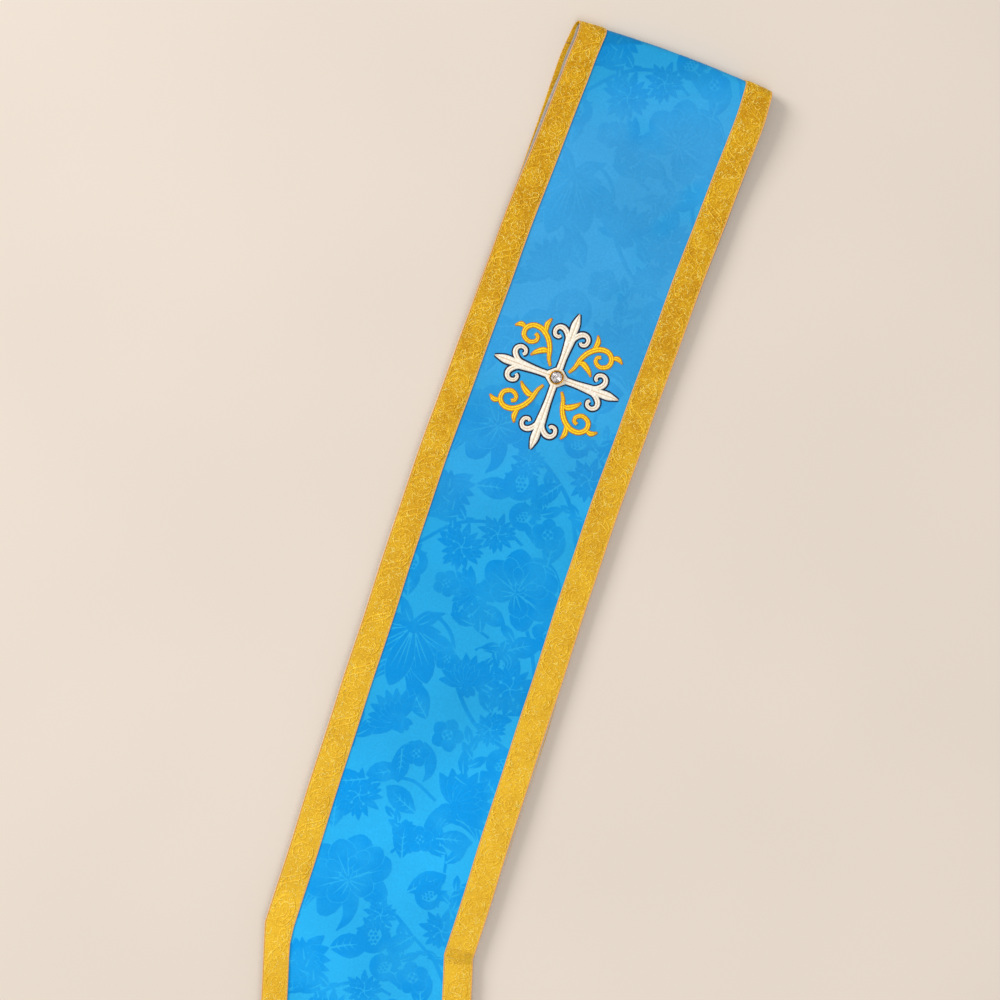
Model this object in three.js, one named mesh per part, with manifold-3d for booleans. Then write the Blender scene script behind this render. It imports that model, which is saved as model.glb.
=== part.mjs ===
// A deacon stole laid flat and folded in half at the shoulder.
// A long lined band of damask edged with gold galloon on both sides, bent at the hip by a mitre so that
// its end falls straight. The front half carries an embroidered cross and lies on the back half, lining to
// lining. Millimetres, +Z up; the stole rests on z = 0, and the origin is the middle of its underside.
// +Y runs from the hem to the shoulder fold, and the damask of the front half faces +Z.
import * as THREE from "three";
import { mergeVertices } from "three/addons/utils/BufferGeometryUtils.js";
import Module from "manifold-3d";

const wasm = await Module();
wasm.setup();

// Driving dimensions of the band.
const BAND_WIDTH = 140;
const GALLOON_WIDTH = 19.6;
const DAMASK_INSET = 2.2; // from the galloon's outer edge
const LINING_INSET = 3.2;
const HEM_TURN = 1.5; // how far the galloon and the lining stop short of the damask's hem
const GALLOON_THICK = 1.0;
const DAMASK_THICK = 1.2; // damask with its interlining
const LINING_THICK = 1.0;
const SEAM_GAP = 0.3; // between pieces that are sewn face to face
const FOLD_HOLLOW = 2.5; // radius left open inside the shoulder fold
const FOLD_SETTLES_IN = 85; // length over which the front half comes down from the fold
const FOLD_PINCH = 0.022; // share of the width lost where the band rolls over
const PINCH_LENGTH = 26;
const BACK_SEAM = 16; // the shoulder seam, this far past the fold on the back half

// Faces of the layers, as radii from the middle of the shoulder fold.
const LINING_IN = FOLD_HOLLOW;
const LINING_OUT = LINING_IN + LINING_THICK;
const DAMASK_IN = LINING_OUT + SEAM_GAP;
const DAMASK_OUT = DAMASK_IN + DAMASK_THICK;
const GALLOON_IN = DAMASK_OUT + SEAM_GAP;
const GALLOON_OUT = GALLOON_IN + GALLOON_THICK;
const FOLD_MIDDLE = GALLOON_OUT; // height of the fold's middle, and its distance from the fold's crest
const FOLD_SETTLES_BY = 2 * FOLD_HOLLOW - SEAM_GAP;

// The plan of the band, walked from the fold down: lengths in mm, and turns and headings in degrees.
const HEADING_AT_FOLD = 20.2; // from -Y towards -X
const SHOULDER_RUNS = [
  { length: 230, turn: 0 },
  { length: 200, turn: -2.4 },
  { length: 195, turn: 0 },
];
const MITRE_TURN = -15.1;
const FALL_RUNS = [
  { length: 260, turn: -1.6 },
  { length: 300, turn: 0 },
];
const total = (runs, key) => runs.reduce((sum, run) => sum + run[key], 0);
const SHOULDER_LENGTH = total(SHOULDER_RUNS, "length");
const FALL_LENGTH = total(FALL_RUNS, "length");
const HEM_AT = SHOULDER_LENGTH + FALL_LENGTH;

// How far the back half lies to the left (+) or right (-) of the front half.
const BACK_SHIFTS = [
  { at: 0, shift: 3.8 },
  { at: 145, shift: 0.4 },
  { at: 300, shift: 0 },
  { at: 460, shift: -1.3 },
  { at: 560, shift: -1.0 },
  { at: 640, shift: 0 },
  { at: 900, shift: 0.9 },
  { at: HEM_AT, shift: -1.2 },
];

// Soft rises of the front half off the back one: where, how far they spread and how high they are.
const RISES = [
  { at: 130, across: 62, long: 70, wide: 45, high: 0.7 },
  { at: 405, across: -58, long: 110, wide: 60, high: 0.9 },
  { at: 520, across: 66, long: 90, wide: 50, high: 1.0 },
  { at: 655, across: -40, long: 80, wide: 90, high: 0.8 },
  { at: 800, across: 60, long: 120, wide: 60, high: 1.3 },
  { at: 985, across: -64, long: 110, wide: 55, high: 1.2 },
  { at: 1200, across: 70, long: 75, wide: 60, high: 1.8 },
];

// The embroidered emblem on the front half.
const EMBLEM_AT = 229;
const EMBROIDERY_THICK = 1.0;
const ROUND_STEPS = 24;
const STEPS_BETWEEN_KNOTS = 3;

const COLOURS = {
  damask: 0x2593e0,
  lining: 0xb8b0ab,
  galloon: 0xdba827,
  white: 0xf3ecdf,
  gold: 0xf0b010,
  setting: 0xd9a441,
  crystal: 0xe9e4ee,
};

const radians = THREE.MathUtils.degToRad;
const smooth = (share) => THREE.MathUtils.smoothstep(share, 0, 1);

// A soft bump: 1 in the middle, 0 from one spread away.
const bump = (offset, spread) =>
  Math.abs(offset) >= spread ? 0 : Math.cos((Math.PI / 2) * (offset / spread)) ** 2;

// The place and heading after walking `along` mm of the runs from `start`.
function walk(start, runs, along) {
  let { x, y, heading } = start;
  let left = along;
  for (const run of runs) {
    const length = run === runs.at(-1) ? left : Math.min(left, run.length);
    const turn = radians(run.turn) * (length / run.length);
    const chord = turn === 0 ? length : (2 * length * Math.sin(turn / 2)) / turn;
    const middle = heading + turn / 2;
    x -= chord * Math.sin(middle);
    y -= chord * Math.cos(middle);
    heading += turn;
    left -= length;
  }
  return { x, y, heading };
}

const FOLD_START = { x: 0, y: 0, heading: radians(HEADING_AT_FOLD) };
const MITRE = walk(FOLD_START, SHOULDER_RUNS, SHOULDER_LENGTH);
const FALL_START = { ...MITRE, heading: MITRE.heading + radians(MITRE_TURN) };

// The cross section of the plan at `along`: its middle and the vector that one mm of width spans.
function crossSection(along) {
  const upper = along <= SHOULDER_LENGTH;
  const spot = upper
    ? walk(FOLD_START, SHOULDER_RUNS, along)
    : walk(FALL_START, FALL_RUNS, along - SHOULDER_LENGTH);
  return { ...spot, dx: Math.cos(spot.heading), dy: -Math.sin(spot.heading) };
}

// The same on the mitre line, which halves the bend, moved by `setback` mm along the band.
function mitreSection(setback) {
  const half = radians(MITRE_TURN) / 2;
  const heading = MITRE.heading + half;
  const stretch = 1 / Math.cos(half);
  return {
    x: MITRE.x - setback * Math.sin(heading),
    y: MITRE.y - setback * Math.cos(heading),
    dx: Math.cos(heading) * stretch,
    dy: -Math.sin(heading) * stretch,
  };
}

function backShift(along) {
  const last = BACK_SHIFTS.at(-1);
  if (along >= last.at) return last.shift;
  const next = BACK_SHIFTS.findIndex((row) => row.at > along);
  const from = BACK_SHIFTS[Math.max(next - 1, 0)];
  const to = BACK_SHIFTS[next];
  const share = smooth((along - from.at) / Math.max(to.at - from.at, 1));
  return from.shift + (to.shift - from.shift) * share;
}

const rise = (along, across) =>
  RISES.reduce(
    (sum, r) => sum + r.high * bump(along - r.at, r.long) * bump(across - r.across, r.wide),
    0,
  );

const pinch = (along) => 1 - FOLD_PINCH * (1 - smooth(along / PINCH_LENGTH));

function pointOn(section, across, height) {
  return new THREE.Vector3(
    section.x + across * section.dx,
    section.y + across * section.dy,
    height,
  );
}

// Stops along the band. Each gives the point at `across` mm from the middle on the face of that radius.
const frontStop = (along, section = crossSection(along)) => (across, radius) => {
  const settled = FOLD_SETTLES_BY * smooth((along - FOLD_MIDDLE) / FOLD_SETTLES_IN);
  const height = FOLD_MIDDLE + radius - settled + rise(along, across);
  return pointOn(section, across * pinch(along), height);
};
const foldStop = (angle) => (across, radius) => {
  const along = FOLD_MIDDLE - radius * Math.sin(angle);
  const shifted = across * pinch(along) - backShift(0) * smooth(angle / Math.PI);
  return pointOn(crossSection(along), shifted, FOLD_MIDDLE + radius * Math.cos(angle));
};
const backStop = (along, section = crossSection(along)) => (across, radius) =>
  pointOn(section, across * pinch(along) - backShift(along), FOLD_MIDDLE - radius);

// Distances from `from` to `to`, in equal steps of about `step` mm.
function spaced(from, to, step) {
  const count = Math.max(1, Math.round(Math.abs(to - from) / step));
  return Array.from({ length: count + 1 }, (_, i) => from + ((to - from) * i) / count);
}

const FLAT_STEP = 26;
const SETTLING_STEP = 11;
const FOLD_TURNS = 9;
const CLEAR_OF_MITRE = 13; // stops stay this far from the mitre, so that the inner edge can't cross itself
const MITRE_SETBACK = SEAM_GAP / 2;

const foldStops = spaced(0, Math.PI, Math.PI / FOLD_TURNS).slice(1, -1).map(foldStop);
const settlingEnd = FOLD_MIDDLE + FOLD_SETTLES_IN;
const shoulderEnd = SHOULDER_LENGTH - CLEAR_OF_MITRE;
const fallStart = SHOULDER_LENGTH + CLEAR_OF_MITRE;
const fallEnd = HEM_AT - HEM_TURN;

// The front half's shoulder stretch from its lower end up to the fold, over it and down to the seam behind.
const frontShoulder = [
  ...spaced(shoulderEnd, settlingEnd, FLAT_STEP),
  ...spaced(settlingEnd, FOLD_MIDDLE, SETTLING_STEP).slice(1),
].map((along) => frontStop(along));
const overTheFold = [...foldStops, backStop(FOLD_MIDDLE), backStop(BACK_SEAM - SEAM_GAP / 2)];
const backShoulder = spaced(BACK_SEAM + SEAM_GAP / 2, shoulderEnd, FLAT_STEP).map((along) =>
  backStop(along),
);
const frontFall = (end) => spaced(end, fallStart, FLAT_STEP).map((along) => frontStop(along));
const backFall = (end) => spaced(fallStart, end, FLAT_STEP).map((along) => backStop(along));
const mitreStop = (stop, setback) => stop(SHOULDER_LENGTH + setback, mitreSection(setback));

// A closed wall through the stops, from `left` to `right` mm across, between two radii.
function wall(stops, left, right, inner, outer, panels) {
  const rows = spaced(left, right, (right - left) / panels);
  const ring = rows.length * 2;
  const points = stops.flatMap((stop) => [
    ...rows.map((across) => stop(across, outer)),
    ...rows.toReversed().map((across) => stop(across, inner)),
  ]);
  const faces = [];
  const quad = (a, b, c, d) => faces.push(a, b, c, a, c, d);
  for (let s = 0; s + 1 < stops.length; s += 1) {
    for (let k = 0; k < ring; k += 1) {
      const next = (k + 1) % ring;
      quad(s * ring + k, s * ring + next, (s + 1) * ring + next, (s + 1) * ring + k);
    }
  }
  const lastRing = (stops.length - 1) * ring;
  for (let k = 0; k + 1 < rows.length; k += 1) {
    const under = ring - 1 - k;
    quad(k, under, under - 1, k + 1);
    quad(lastRing + k, lastRing + k + 1, lastRing + under - 1, lastRing + under);
  }
  const geometry = new THREE.BufferGeometry().setFromPoints(points);
  geometry.setIndex(faces);
  return geometry;
}

const stole = new THREE.Group();

function addPiece(name, geometry, colour, finish = { roughness: 0.6, metalness: 0 }) {
  const material = new THREE.MeshStandardMaterial({ color: colour, ...finish });
  const mesh = new THREE.Mesh(geometry, material);
  mesh.name = name;
  stole.add(mesh);
}

function solidFrom(geometry) {
  const bare = new THREE.BufferGeometry();
  bare.setAttribute("position", geometry.getAttribute("position"));
  if (geometry.index) bare.setIndex(geometry.index);
  const merged = mergeVertices(bare, 1e-4);
  return new wasm.Manifold(
    new wasm.Mesh({
      numProp: 3,
      vertProperties: merged.attributes.position.array,
      triVerts: new Uint32Array(merged.index.array),
    }),
  );
}

function geometryFrom(solid) {
  const { vertProperties, triVerts } = solid.getMesh();
  const geometry = new THREE.BufferGeometry();
  geometry.setAttribute("position", new THREE.Float32BufferAttribute(vertProperties, 3));
  geometry.setIndex([...triVerts]);
  return geometry;
}

// Damask: each half is cut in one piece, hem to shoulder, with the bend in its outline.
const damaskEdge = BAND_WIDTH / 2 - DAMASK_INSET;
const BROAD_PANELS = 8;
const FLAT_PANELS = 2;
const wholeFront = (hem) => [...frontFall(hem), mitreStop(frontStop, 0), ...frontShoulder];
const wholeBack = (hem) => [...backShoulder, mitreStop(backStop, 0), ...backFall(hem)];

const damaskRuns = {
  front: { stops: [...wholeFront(HEM_AT), ...overTheFold], panels: BROAD_PANELS },
  back: { stops: wholeBack(HEM_AT), panels: FLAT_PANELS },
};
for (const [half, { stops, panels }] of Object.entries(damaskRuns)) {
  const panel = wall(stops, -damaskEdge, damaskEdge, DAMASK_IN, DAMASK_OUT, panels);
  addPiece(`damask_${half}`, panel, COLOURS.damask);
}

// Lining: the linings of both halves are hidden face to face, so they share one rounded solid. A core joins
// them, and stops short of the edges, where the two layers part.
const liningEdge = BAND_WIDTH / 2 - LINING_INSET;
const LAYERS_PART_BY = 8; // depth of the slit between the two layers
const CORE_BITE = 0.25; // how far the core sinks into each layer, so that the three are one body
const CORE_RADIUS = LINING_IN + CORE_BITE;
const CORE_FOLD_TURNS = [20, 40, 60, 76]; // degrees round the inside of the fold

const coreStop = (along, section = crossSection(along)) => (across, side) =>
  (side > 0 ? frontStop : backStop)(along, section)(across, CORE_RADIUS);
const coreFoldStop = (degrees) => (across, side) =>
  foldStop(radians(side > 0 ? degrees : 180 - degrees))(across, CORE_RADIUS);

const liningStops = [
  ...wholeFront(fallEnd),
  ...foldStops,
  backStop(FOLD_MIDDLE),
  ...wholeBack(fallEnd),
];
const coreStops = [
  ...spaced(fallEnd - LAYERS_PART_BY, fallStart, FLAT_STEP).map((along) => coreStop(along)),
  mitreStop(coreStop, 0),
  ...spaced(shoulderEnd, settlingEnd, FLAT_STEP).map((along) => coreStop(along)),
  ...spaced(settlingEnd, FOLD_MIDDLE, SETTLING_STEP).slice(1).map((along) => coreStop(along)),
  ...CORE_FOLD_TURNS.map(coreFoldStop),
];
const coreEdge = liningEdge - LAYERS_PART_BY;
const liningLayers = wall(
  liningStops,
  -liningEdge,
  liningEdge,
  LINING_IN,
  LINING_OUT,
  BROAD_PANELS,
);
const liningCore = wall(coreStops, -coreEdge, coreEdge, -1, 1, BROAD_PANELS);
addPiece("lining", geometryFrom(solidFrom(liningLayers).add(solidFrom(liningCore))), COLOURS.lining);

// Galloon: a strip along each edge of the damask, mitred at the bend and joined at the shoulder seam.
const GALLOON_PANELS = 2;
const galloonOuter = BAND_WIDTH / 2;
const galloonInner = galloonOuter - GALLOON_WIDTH;
const GALLOON_FINISH = { roughness: 0.4, metalness: 0.6 };
const galloonRuns = {
  front_shoulder: [mitreStop(frontStop, -MITRE_SETBACK), ...frontShoulder, ...overTheFold],
  front_fall: [...frontFall(fallEnd), mitreStop(frontStop, MITRE_SETBACK)],
  back_shoulder: [...backShoulder, mitreStop(backStop, -MITRE_SETBACK)],
  back_fall: [mitreStop(backStop, MITRE_SETBACK), ...backFall(fallEnd)],
};
for (const [run, stops] of Object.entries(galloonRuns)) {
  const strip = (left, right) =>
    wall(stops, left, right, GALLOON_IN, GALLOON_OUT, GALLOON_PANELS);
  addPiece(`galloon_${run}_left`, strip(-galloonOuter, -galloonInner), COLOURS.galloon, GALLOON_FINISH);
  addPiece(`galloon_${run}_right`, strip(galloonInner, galloonOuter), COLOURS.galloon, GALLOON_FINISH);
}

// Emblem: a cross fleury in satin stitch, with a gold scroll in each corner and a crystal in the middle.
// Its strokes are drawn on the flat, u across the band and v towards the fold, as lines through knots that
// each have a width.
const CROSS_BOSS = 7.4;
const CROSS_ARMS = [
  { turn: 0, reach: 30 }, // towards the fold
  { turn: 90, reach: 29 },
  { turn: 180, reach: 36 },
  { turn: 270, reach: 29 },
];
const ARM_WAIST = 4.6;
const ARM_FLARE = 7.6;
// The petal and the volute at an arm's end: v is counted from there.
const PETAL = [
  { u: 0, v: -3, width: 2.5 },
  { u: 0, v: 2, width: 5.2 },
  { u: 0, v: 7.5, width: 5.6 },
  { u: 0, v: 12, width: 3.0 },
  { u: 0, v: 15, width: 0.5 },
];
const VOLUTE = [
  { u: 0.8, v: -6, width: 3.0 },
  { u: 2.6, v: -1.0, width: 3.4 },
  { u: 6.0, v: 2.4, width: 3.6 },
  { u: 9.6, v: 2.6, width: 3.2 },
  { u: 11.6, v: 0, width: 2.8 },
  { u: 10.8, v: -3.2, width: 2.6 },
  { u: 8.2, v: -4.0, width: 2.4 },
  { u: 6.9, v: -2.6, width: 2.0 },
];
// The scroll of the upper right corner and its leaves; the other corners mirror it.
const SCROLL_STROKES = [
  [
    { u: 6.5, v: 5.7, width: 1.2 },
    { u: 9.2, v: 10.5, width: 2.2 },
    { u: 11.0, v: 17.0, width: 2.8 },
    { u: 14.6, v: 23.0, width: 3.2 },
    { u: 20.2, v: 27.2, width: 3.4 },
    { u: 26.4, v: 27.6, width: 3.2 },
    { u: 30.4, v: 24.0, width: 3.0 },
    { u: 30.0, v: 18.9, width: 2.8 },
    { u: 25.4, v: 16.4, width: 2.6 },
    { u: 21.4, v: 18.2, width: 2.4 },
    { u: 21.0, v: 21.4, width: 2.2 },
    { u: 23.4, v: 22.8, width: 2.0 },
  ],
  [
    { u: 10.0, v: 14.0, width: 1.2 },
    { u: 13.9, v: 14.4, width: 3.6 },
    { u: 18.4, v: 11.6, width: 2.8 },
    { u: 21.4, v: 8.2, width: 0.5 },
  ],
  [
    { u: 16.6, v: 25.4, width: 1.0 },
    { u: 18.0, v: 31.0, width: 3.2 },
    { u: 16.4, v: 36.0, width: 0.5 },
  ],
  [
    { u: 30.0, v: 24.2, width: 1.0 },
    { u: 34.2, v: 25.6, width: 3.2 },
    { u: 38.2, v: 23.4, width: 0.5 },
  ],
];
const LOWER_SCROLL_DROP = 2;

// A closed outline round a smooth line through the knots, as wide as their widths say.
function strokeShape(knots) {
  const curve = new THREE.CatmullRomCurve3(knots.map((k) => new THREE.Vector3(k.u, k.v, 0)));
  const left = [];
  const right = [];
  const steps = STEPS_BETWEEN_KNOTS * (knots.length - 1);
  for (let i = 0; i <= steps; i += 1) {
    const share = i / steps;
    const spot = curve.getPoint(share);
    const way = curve.getTangent(share);
    const knot = share * (knots.length - 1);
    const low = Math.min(Math.floor(knot), knots.length - 2);
    const width = THREE.MathUtils.lerp(knots[low].width, knots[low + 1].width, knot - low);
    const aside = new THREE.Vector2(-way.y, way.x).multiplyScalar(width / 2);
    left.push(new THREE.Vector2(spot.x + aside.x, spot.y + aside.y));
    right.push(new THREE.Vector2(spot.x - aside.x, spot.y - aside.y));
  }
  return new THREE.Shape([...right, ...left.toReversed()]);
}

const raise = (shape) =>
  new THREE.ExtrudeGeometry(shape, { depth: EMBROIDERY_THICK, bevelEnabled: false });

// Lays a flat drawing on the front half's damask, over the point at EMBLEM_AT.
function layOnDamask(geometry, lift = 0) {
  const drawn = geometry.getAttribute("position");
  for (let i = 0; i < drawn.count; i += 1) {
    const stop = frontStop(EMBLEM_AT - drawn.getY(i));
    const laid = stop(drawn.getX(i), GALLOON_IN + lift + drawn.getZ(i));
    drawn.setXYZ(i, laid.x, laid.y, laid.z);
  }
  return geometry;
}

const joined = (geometries) =>
  geometries.map(solidFrom).reduce((whole, piece) => whole.add(piece));
const mirrored = (knots, acrossSign, upSign = 1, drop = 0) =>
  knots.map(({ u, v, width }) => ({ u: acrossSign * u, v: upSign * (v + drop), width }));
const beyond = (knots, reach) => knots.map((knot) => ({ ...knot, v: knot.v + reach }));

// The cross: a boss, four flared arms, and a petal and two volutes at the end of each.
function crossGeometry() {
  const boss = new THREE.CylinderGeometry(CROSS_BOSS, CROSS_BOSS, EMBROIDERY_THICK, ROUND_STEPS);
  boss.rotateX(Math.PI / 2).translate(0, 0, EMBROIDERY_THICK / 2);
  const strokes = CROSS_ARMS.flatMap(({ turn, reach }) => {
    const arm = [
      { u: 0, v: CROSS_BOSS / 2, width: ARM_WAIST },
      { u: 0, v: reach / 2, width: ARM_WAIST },
      { u: 0, v: reach, width: ARM_FLARE },
    ];
    const ends = [PETAL, VOLUTE, mirrored(VOLUTE, -1)].map((knots) => beyond(knots, reach));
    return [arm, ...ends].map((knots) => raise(strokeShape(knots)).rotateZ(radians(-turn)));
  });
  return geometryFrom(joined([boss, ...strokes]));
}

// A gold scroll with its leaves, in the corner where u and v have these signs.
function scrollGeometry(acrossSign, upSign) {
  const drop = upSign < 0 ? LOWER_SCROLL_DROP : 0;
  const strokes = SCROLL_STROKES.map((knots) =>
    raise(strokeShape(mirrored(knots, acrossSign, upSign, drop))),
  );
  return geometryFrom(joined(strokes));
}

addPiece("emblem_cross", layOnDamask(crossGeometry()), COLOURS.white);
const CORNERS = {
  upper_left: [-1, 1],
  upper_right: [1, 1],
  lower_left: [-1, -1],
  lower_right: [1, -1],
};
for (const [corner, [acrossSign, upSign]] of Object.entries(CORNERS)) {
  addPiece(`emblem_scroll_${corner}`, layOnDamask(scrollGeometry(acrossSign, upSign)), COLOURS.gold);
}

// The crystal and its setting, turned about the emblem's middle.
const SETTING_RADIUS = 4.9;
const SETTING_HEIGHT = 1.9;
const SETTING_LIP = 0.25;
const SETTING_FLOOR = 0.6;
const CRYSTAL_RADIUS = 4.2;
const CRYSTAL_TABLE = 2.6; // radius of the facet on top
const CRYSTAL_GIRDLE = 1.2;
const CRYSTAL_HEIGHT = 2.7;
const turned = (profile) => {
  const outline = profile.map(([radius, height]) => new THREE.Vector2(radius, height));
  return new THREE.LatheGeometry(outline, ROUND_STEPS).rotateX(Math.PI / 2);
};
const settingProfile = [
  [0, 0],
  [SETTING_RADIUS, 0],
  [SETTING_RADIUS, SETTING_HEIGHT - SETTING_LIP],
  [SETTING_RADIUS - SETTING_LIP, SETTING_HEIGHT],
  [CRYSTAL_RADIUS + SEAM_GAP, SETTING_HEIGHT],
  [CRYSTAL_RADIUS + SEAM_GAP, SETTING_FLOOR],
  [0, SETTING_FLOOR],
];
const crystalProfile = [
  [0, 0],
  [CRYSTAL_RADIUS, 0],
  [CRYSTAL_RADIUS, CRYSTAL_GIRDLE],
  [CRYSTAL_TABLE, CRYSTAL_HEIGHT],
  [0, CRYSTAL_HEIGHT],
];
const onCross = EMBROIDERY_THICK + SEAM_GAP;
addPiece("crystal_setting", layOnDamask(turned(settingProfile), onCross), COLOURS.setting, {
  roughness: 0.25,
  metalness: 1,
});
const onSetting = onCross + SETTING_FLOOR + SEAM_GAP;
addPiece("crystal", layOnDamask(turned(crystalProfile), onSetting), COLOURS.crystal, {
  roughness: 0.05,
  metalness: 0,
});

// The origin goes to the middle of the underside.
const bounds = new THREE.Box3().setFromObject(stole, true);
const middle = bounds.getCenter(new THREE.Vector3());
stole.position.set(-middle.x, -middle.y, -bounds.min.z);

export default stole;
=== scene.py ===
"""Looks for a deacon stole laid flat and folded in half at the shoulder.

A band of azure damask edged with gold galloon, with an embroidered cross on its front half. Sizes are in mm
here and become metres where a mesh is made. Every layer follows one surface, band_point(): s runs along the
band from the hem of the back half (negative), over the shoulder fold (0), to the hem of the front half.
"""
import functools
import math
import random

import bmesh
import bpy
import numpy as np
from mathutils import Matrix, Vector, geometry


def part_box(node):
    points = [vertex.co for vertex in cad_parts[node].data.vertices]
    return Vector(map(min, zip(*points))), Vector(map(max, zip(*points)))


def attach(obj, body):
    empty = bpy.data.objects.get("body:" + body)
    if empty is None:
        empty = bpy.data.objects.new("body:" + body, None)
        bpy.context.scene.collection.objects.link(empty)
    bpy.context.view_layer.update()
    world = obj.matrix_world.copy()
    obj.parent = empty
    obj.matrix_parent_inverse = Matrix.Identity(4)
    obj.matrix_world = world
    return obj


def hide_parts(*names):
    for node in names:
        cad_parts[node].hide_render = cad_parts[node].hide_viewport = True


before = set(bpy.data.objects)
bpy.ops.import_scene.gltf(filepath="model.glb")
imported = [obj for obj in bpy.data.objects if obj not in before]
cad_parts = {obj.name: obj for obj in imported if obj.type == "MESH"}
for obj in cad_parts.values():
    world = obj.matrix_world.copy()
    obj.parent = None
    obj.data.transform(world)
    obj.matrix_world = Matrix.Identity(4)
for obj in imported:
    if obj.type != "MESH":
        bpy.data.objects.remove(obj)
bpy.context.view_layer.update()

MM = 0.001
SIDES = (("left", -1), ("right", 1))

# The band, as the solids have it.
GALLOON_WIDTH = 19.6
GALLOON_OUTER = 140.0 / 2  # half the width of the band
GALLOON_INNER = GALLOON_OUTER - GALLOON_WIDTH
GALLOON_MIDDLE = (GALLOON_OUTER + GALLOON_INNER) / 2
DAMASK_EDGE = GALLOON_OUTER - 2.2
LINING_EDGE = DAMASK_EDGE + 0.2
HEM_TURN = 1.5
SEAM_GAP = 0.3
SEAM_BEHIND_FOLD = 16.0
OFF_SEAM = 0.1  # where the cloths and ribbons end beside the shoulder seam
LINING_CLEAR, RIBBON_CLEAR = 0.04, 0.02  # what keeps their faces off the damask's
CLOTH_STEP = 5.0  # length of a cloth's faces

# Faces of the layers, as radii from the middle of the shoulder fold.
LINING_IN = 2.5
LINING_OUT = LINING_IN + 1.0
DAMASK_IN = LINING_OUT + SEAM_GAP
DAMASK_OUT = DAMASK_IN + 1.2
GALLOON_IN = DAMASK_OUT + SEAM_GAP
GALLOON_OUT = GALLOON_IN + 1.0
FOLD_MIDDLE = GALLOON_OUT
FOLD_SETTLES_BY = 2 * LINING_IN - SEAM_GAP
FOLD_SETTLES_IN = 85.0
FOLD_PINCH = 0.022
PINCH_LENGTH = 26.0
FOLD_ARC = math.pi * DAMASK_OUT
FOLD_LINES = np.linspace(-FOLD_ARC / 2, FOLD_ARC / 2, 17)
BAKE_MARGIN = 0.004

# The plan: runs of (length, turn in degrees) from the fold to the mitre, and from there to the hem.
HEADING_AT_FOLD = 20.2
SHOULDER_RUNS = ((230.0, 0.0), (200.0, -2.4), (195.0, 0.0))
MITRE_TURN = -15.1
FALL_RUNS = ((260.0, -1.6), (300.0, 0.0))
SHOULDER_LENGTH = sum(length for length, turn in SHOULDER_RUNS)
HEM_AT = SHOULDER_LENGTH + sum(length for length, turn in FALL_RUNS)
CLEAR_OF_MITRE = 13.0
EMBLEM_AT = 229.0

# How far the back half lies to the left (+) of the front half: (along, shift).
BACK_SHIFTS = (
    (0, 3.8), (145, 0.4), (300, 0.0), (460, -1.3), (560, -1.0), (640, 0.0), (900, 0.9), (HEM_AT, -1.2),
)

# Soft rises of the front half off the back one: (along, across, long, wide, high). The low ones, under half
# a mm, are dents and swells that only cloth shows.
SWELLS = (
    (130, 62, 70, 45, 0.7), (405, -58, 110, 60, 0.9), (520, 66, 90, 50, 1.0), (655, -40, 80, 90, 0.8),
    (800, 60, 120, 60, 1.3), (985, -64, 110, 55, 1.2), (1200, 70, 75, 60, 1.8),
    (34, 44, 26, 40, -0.35), (58, -38, 34, 34, 0.30), (92, 20, 40, 52, -0.30), (168, -30, 46, 48, 0.28),
    (196, 52, 34, 26, -0.30), (300, 34, 44, 46, -0.30), (345, -44, 38, 34, 0.26), (450, 8, 52, 60, -0.28),
    (486, -52, 30, 30, 0.30), (560, 30, 40, 40, -0.32), (598, -54, 28, 26, 0.36), (634, 26, 26, 34, 0.40),
    (672, 56, 30, 28, -0.30), (730, -22, 48, 52, 0.34), (775, 40, 36, 34, -0.34), (860, -46, 42, 40, -0.32),
    (918, 24, 50, 52, 0.36), (1010, 44, 44, 38, -0.36), (1072, -30, 52, 56, 0.34), (1140, 20, 40, 48, -0.30),
)

# How the cloth strays from the solids' plain edges.
SWAY = 0.22  # how far the edges wander from straight
SHOULDER_LEAN, LEANS_OVER = 1.8, 190.0  # to the right at the fold
FOLD_BULGE, BULGE_FADES_IN = 2.9, 60.0  # how far the middle of the fold lies out beyond its ends
DRAWN_IN, DRAWN_UNTIL = 1.6, 65.0  # the front's left galloon near the fold, where the lining shows beside it
NARROWER_LEFT = 2.2  # the same strip past the mitre
TRIM, TRIM_UNTIL = 1.5, 70.0  # damask and lining just behind the fold, where galloon shows past them
LINING_SHOWS, SHOWS_FROM = GALLOON_OUTER + 0.4 - LINING_EDGE, 60.0  # a thin line along the front's edges
SHOWS_MORE, SHOWS_MOST_AT, SHOWS_OVER = 0.7, 520.0, 130.0  # at the right, above the mitre
INNER_DIP, OUTER_DIP, DIP_WIDTH = 0.55, 0.2, 3.0  # of galloon along its sewn edges


def smooth_step(t):
    t = np.clip(t, 0.0, 1.0)
    return t * t * (3 - 2 * t)


def bump(offset, spread):
    t = np.clip(np.abs(offset) / spread, 0.0, 1.0)
    return np.cos(math.pi / 2 * t) ** 2


def walked(start, runs, along):
    """The place and heading after `along` mm of the runs from start."""
    x, y, heading = start
    for index, (length, degrees) in enumerate(runs):
        part = along if index == len(runs) - 1 else min(along, length)
        turn = math.radians(degrees) * part / length
        chord = part if turn == 0 else 2 * part * math.sin(turn / 2) / turn
        x -= chord * math.sin(heading + turn / 2)
        y -= chord * math.cos(heading + turn / 2)
        heading += turn
        along -= part
    return x, y, heading


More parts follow.
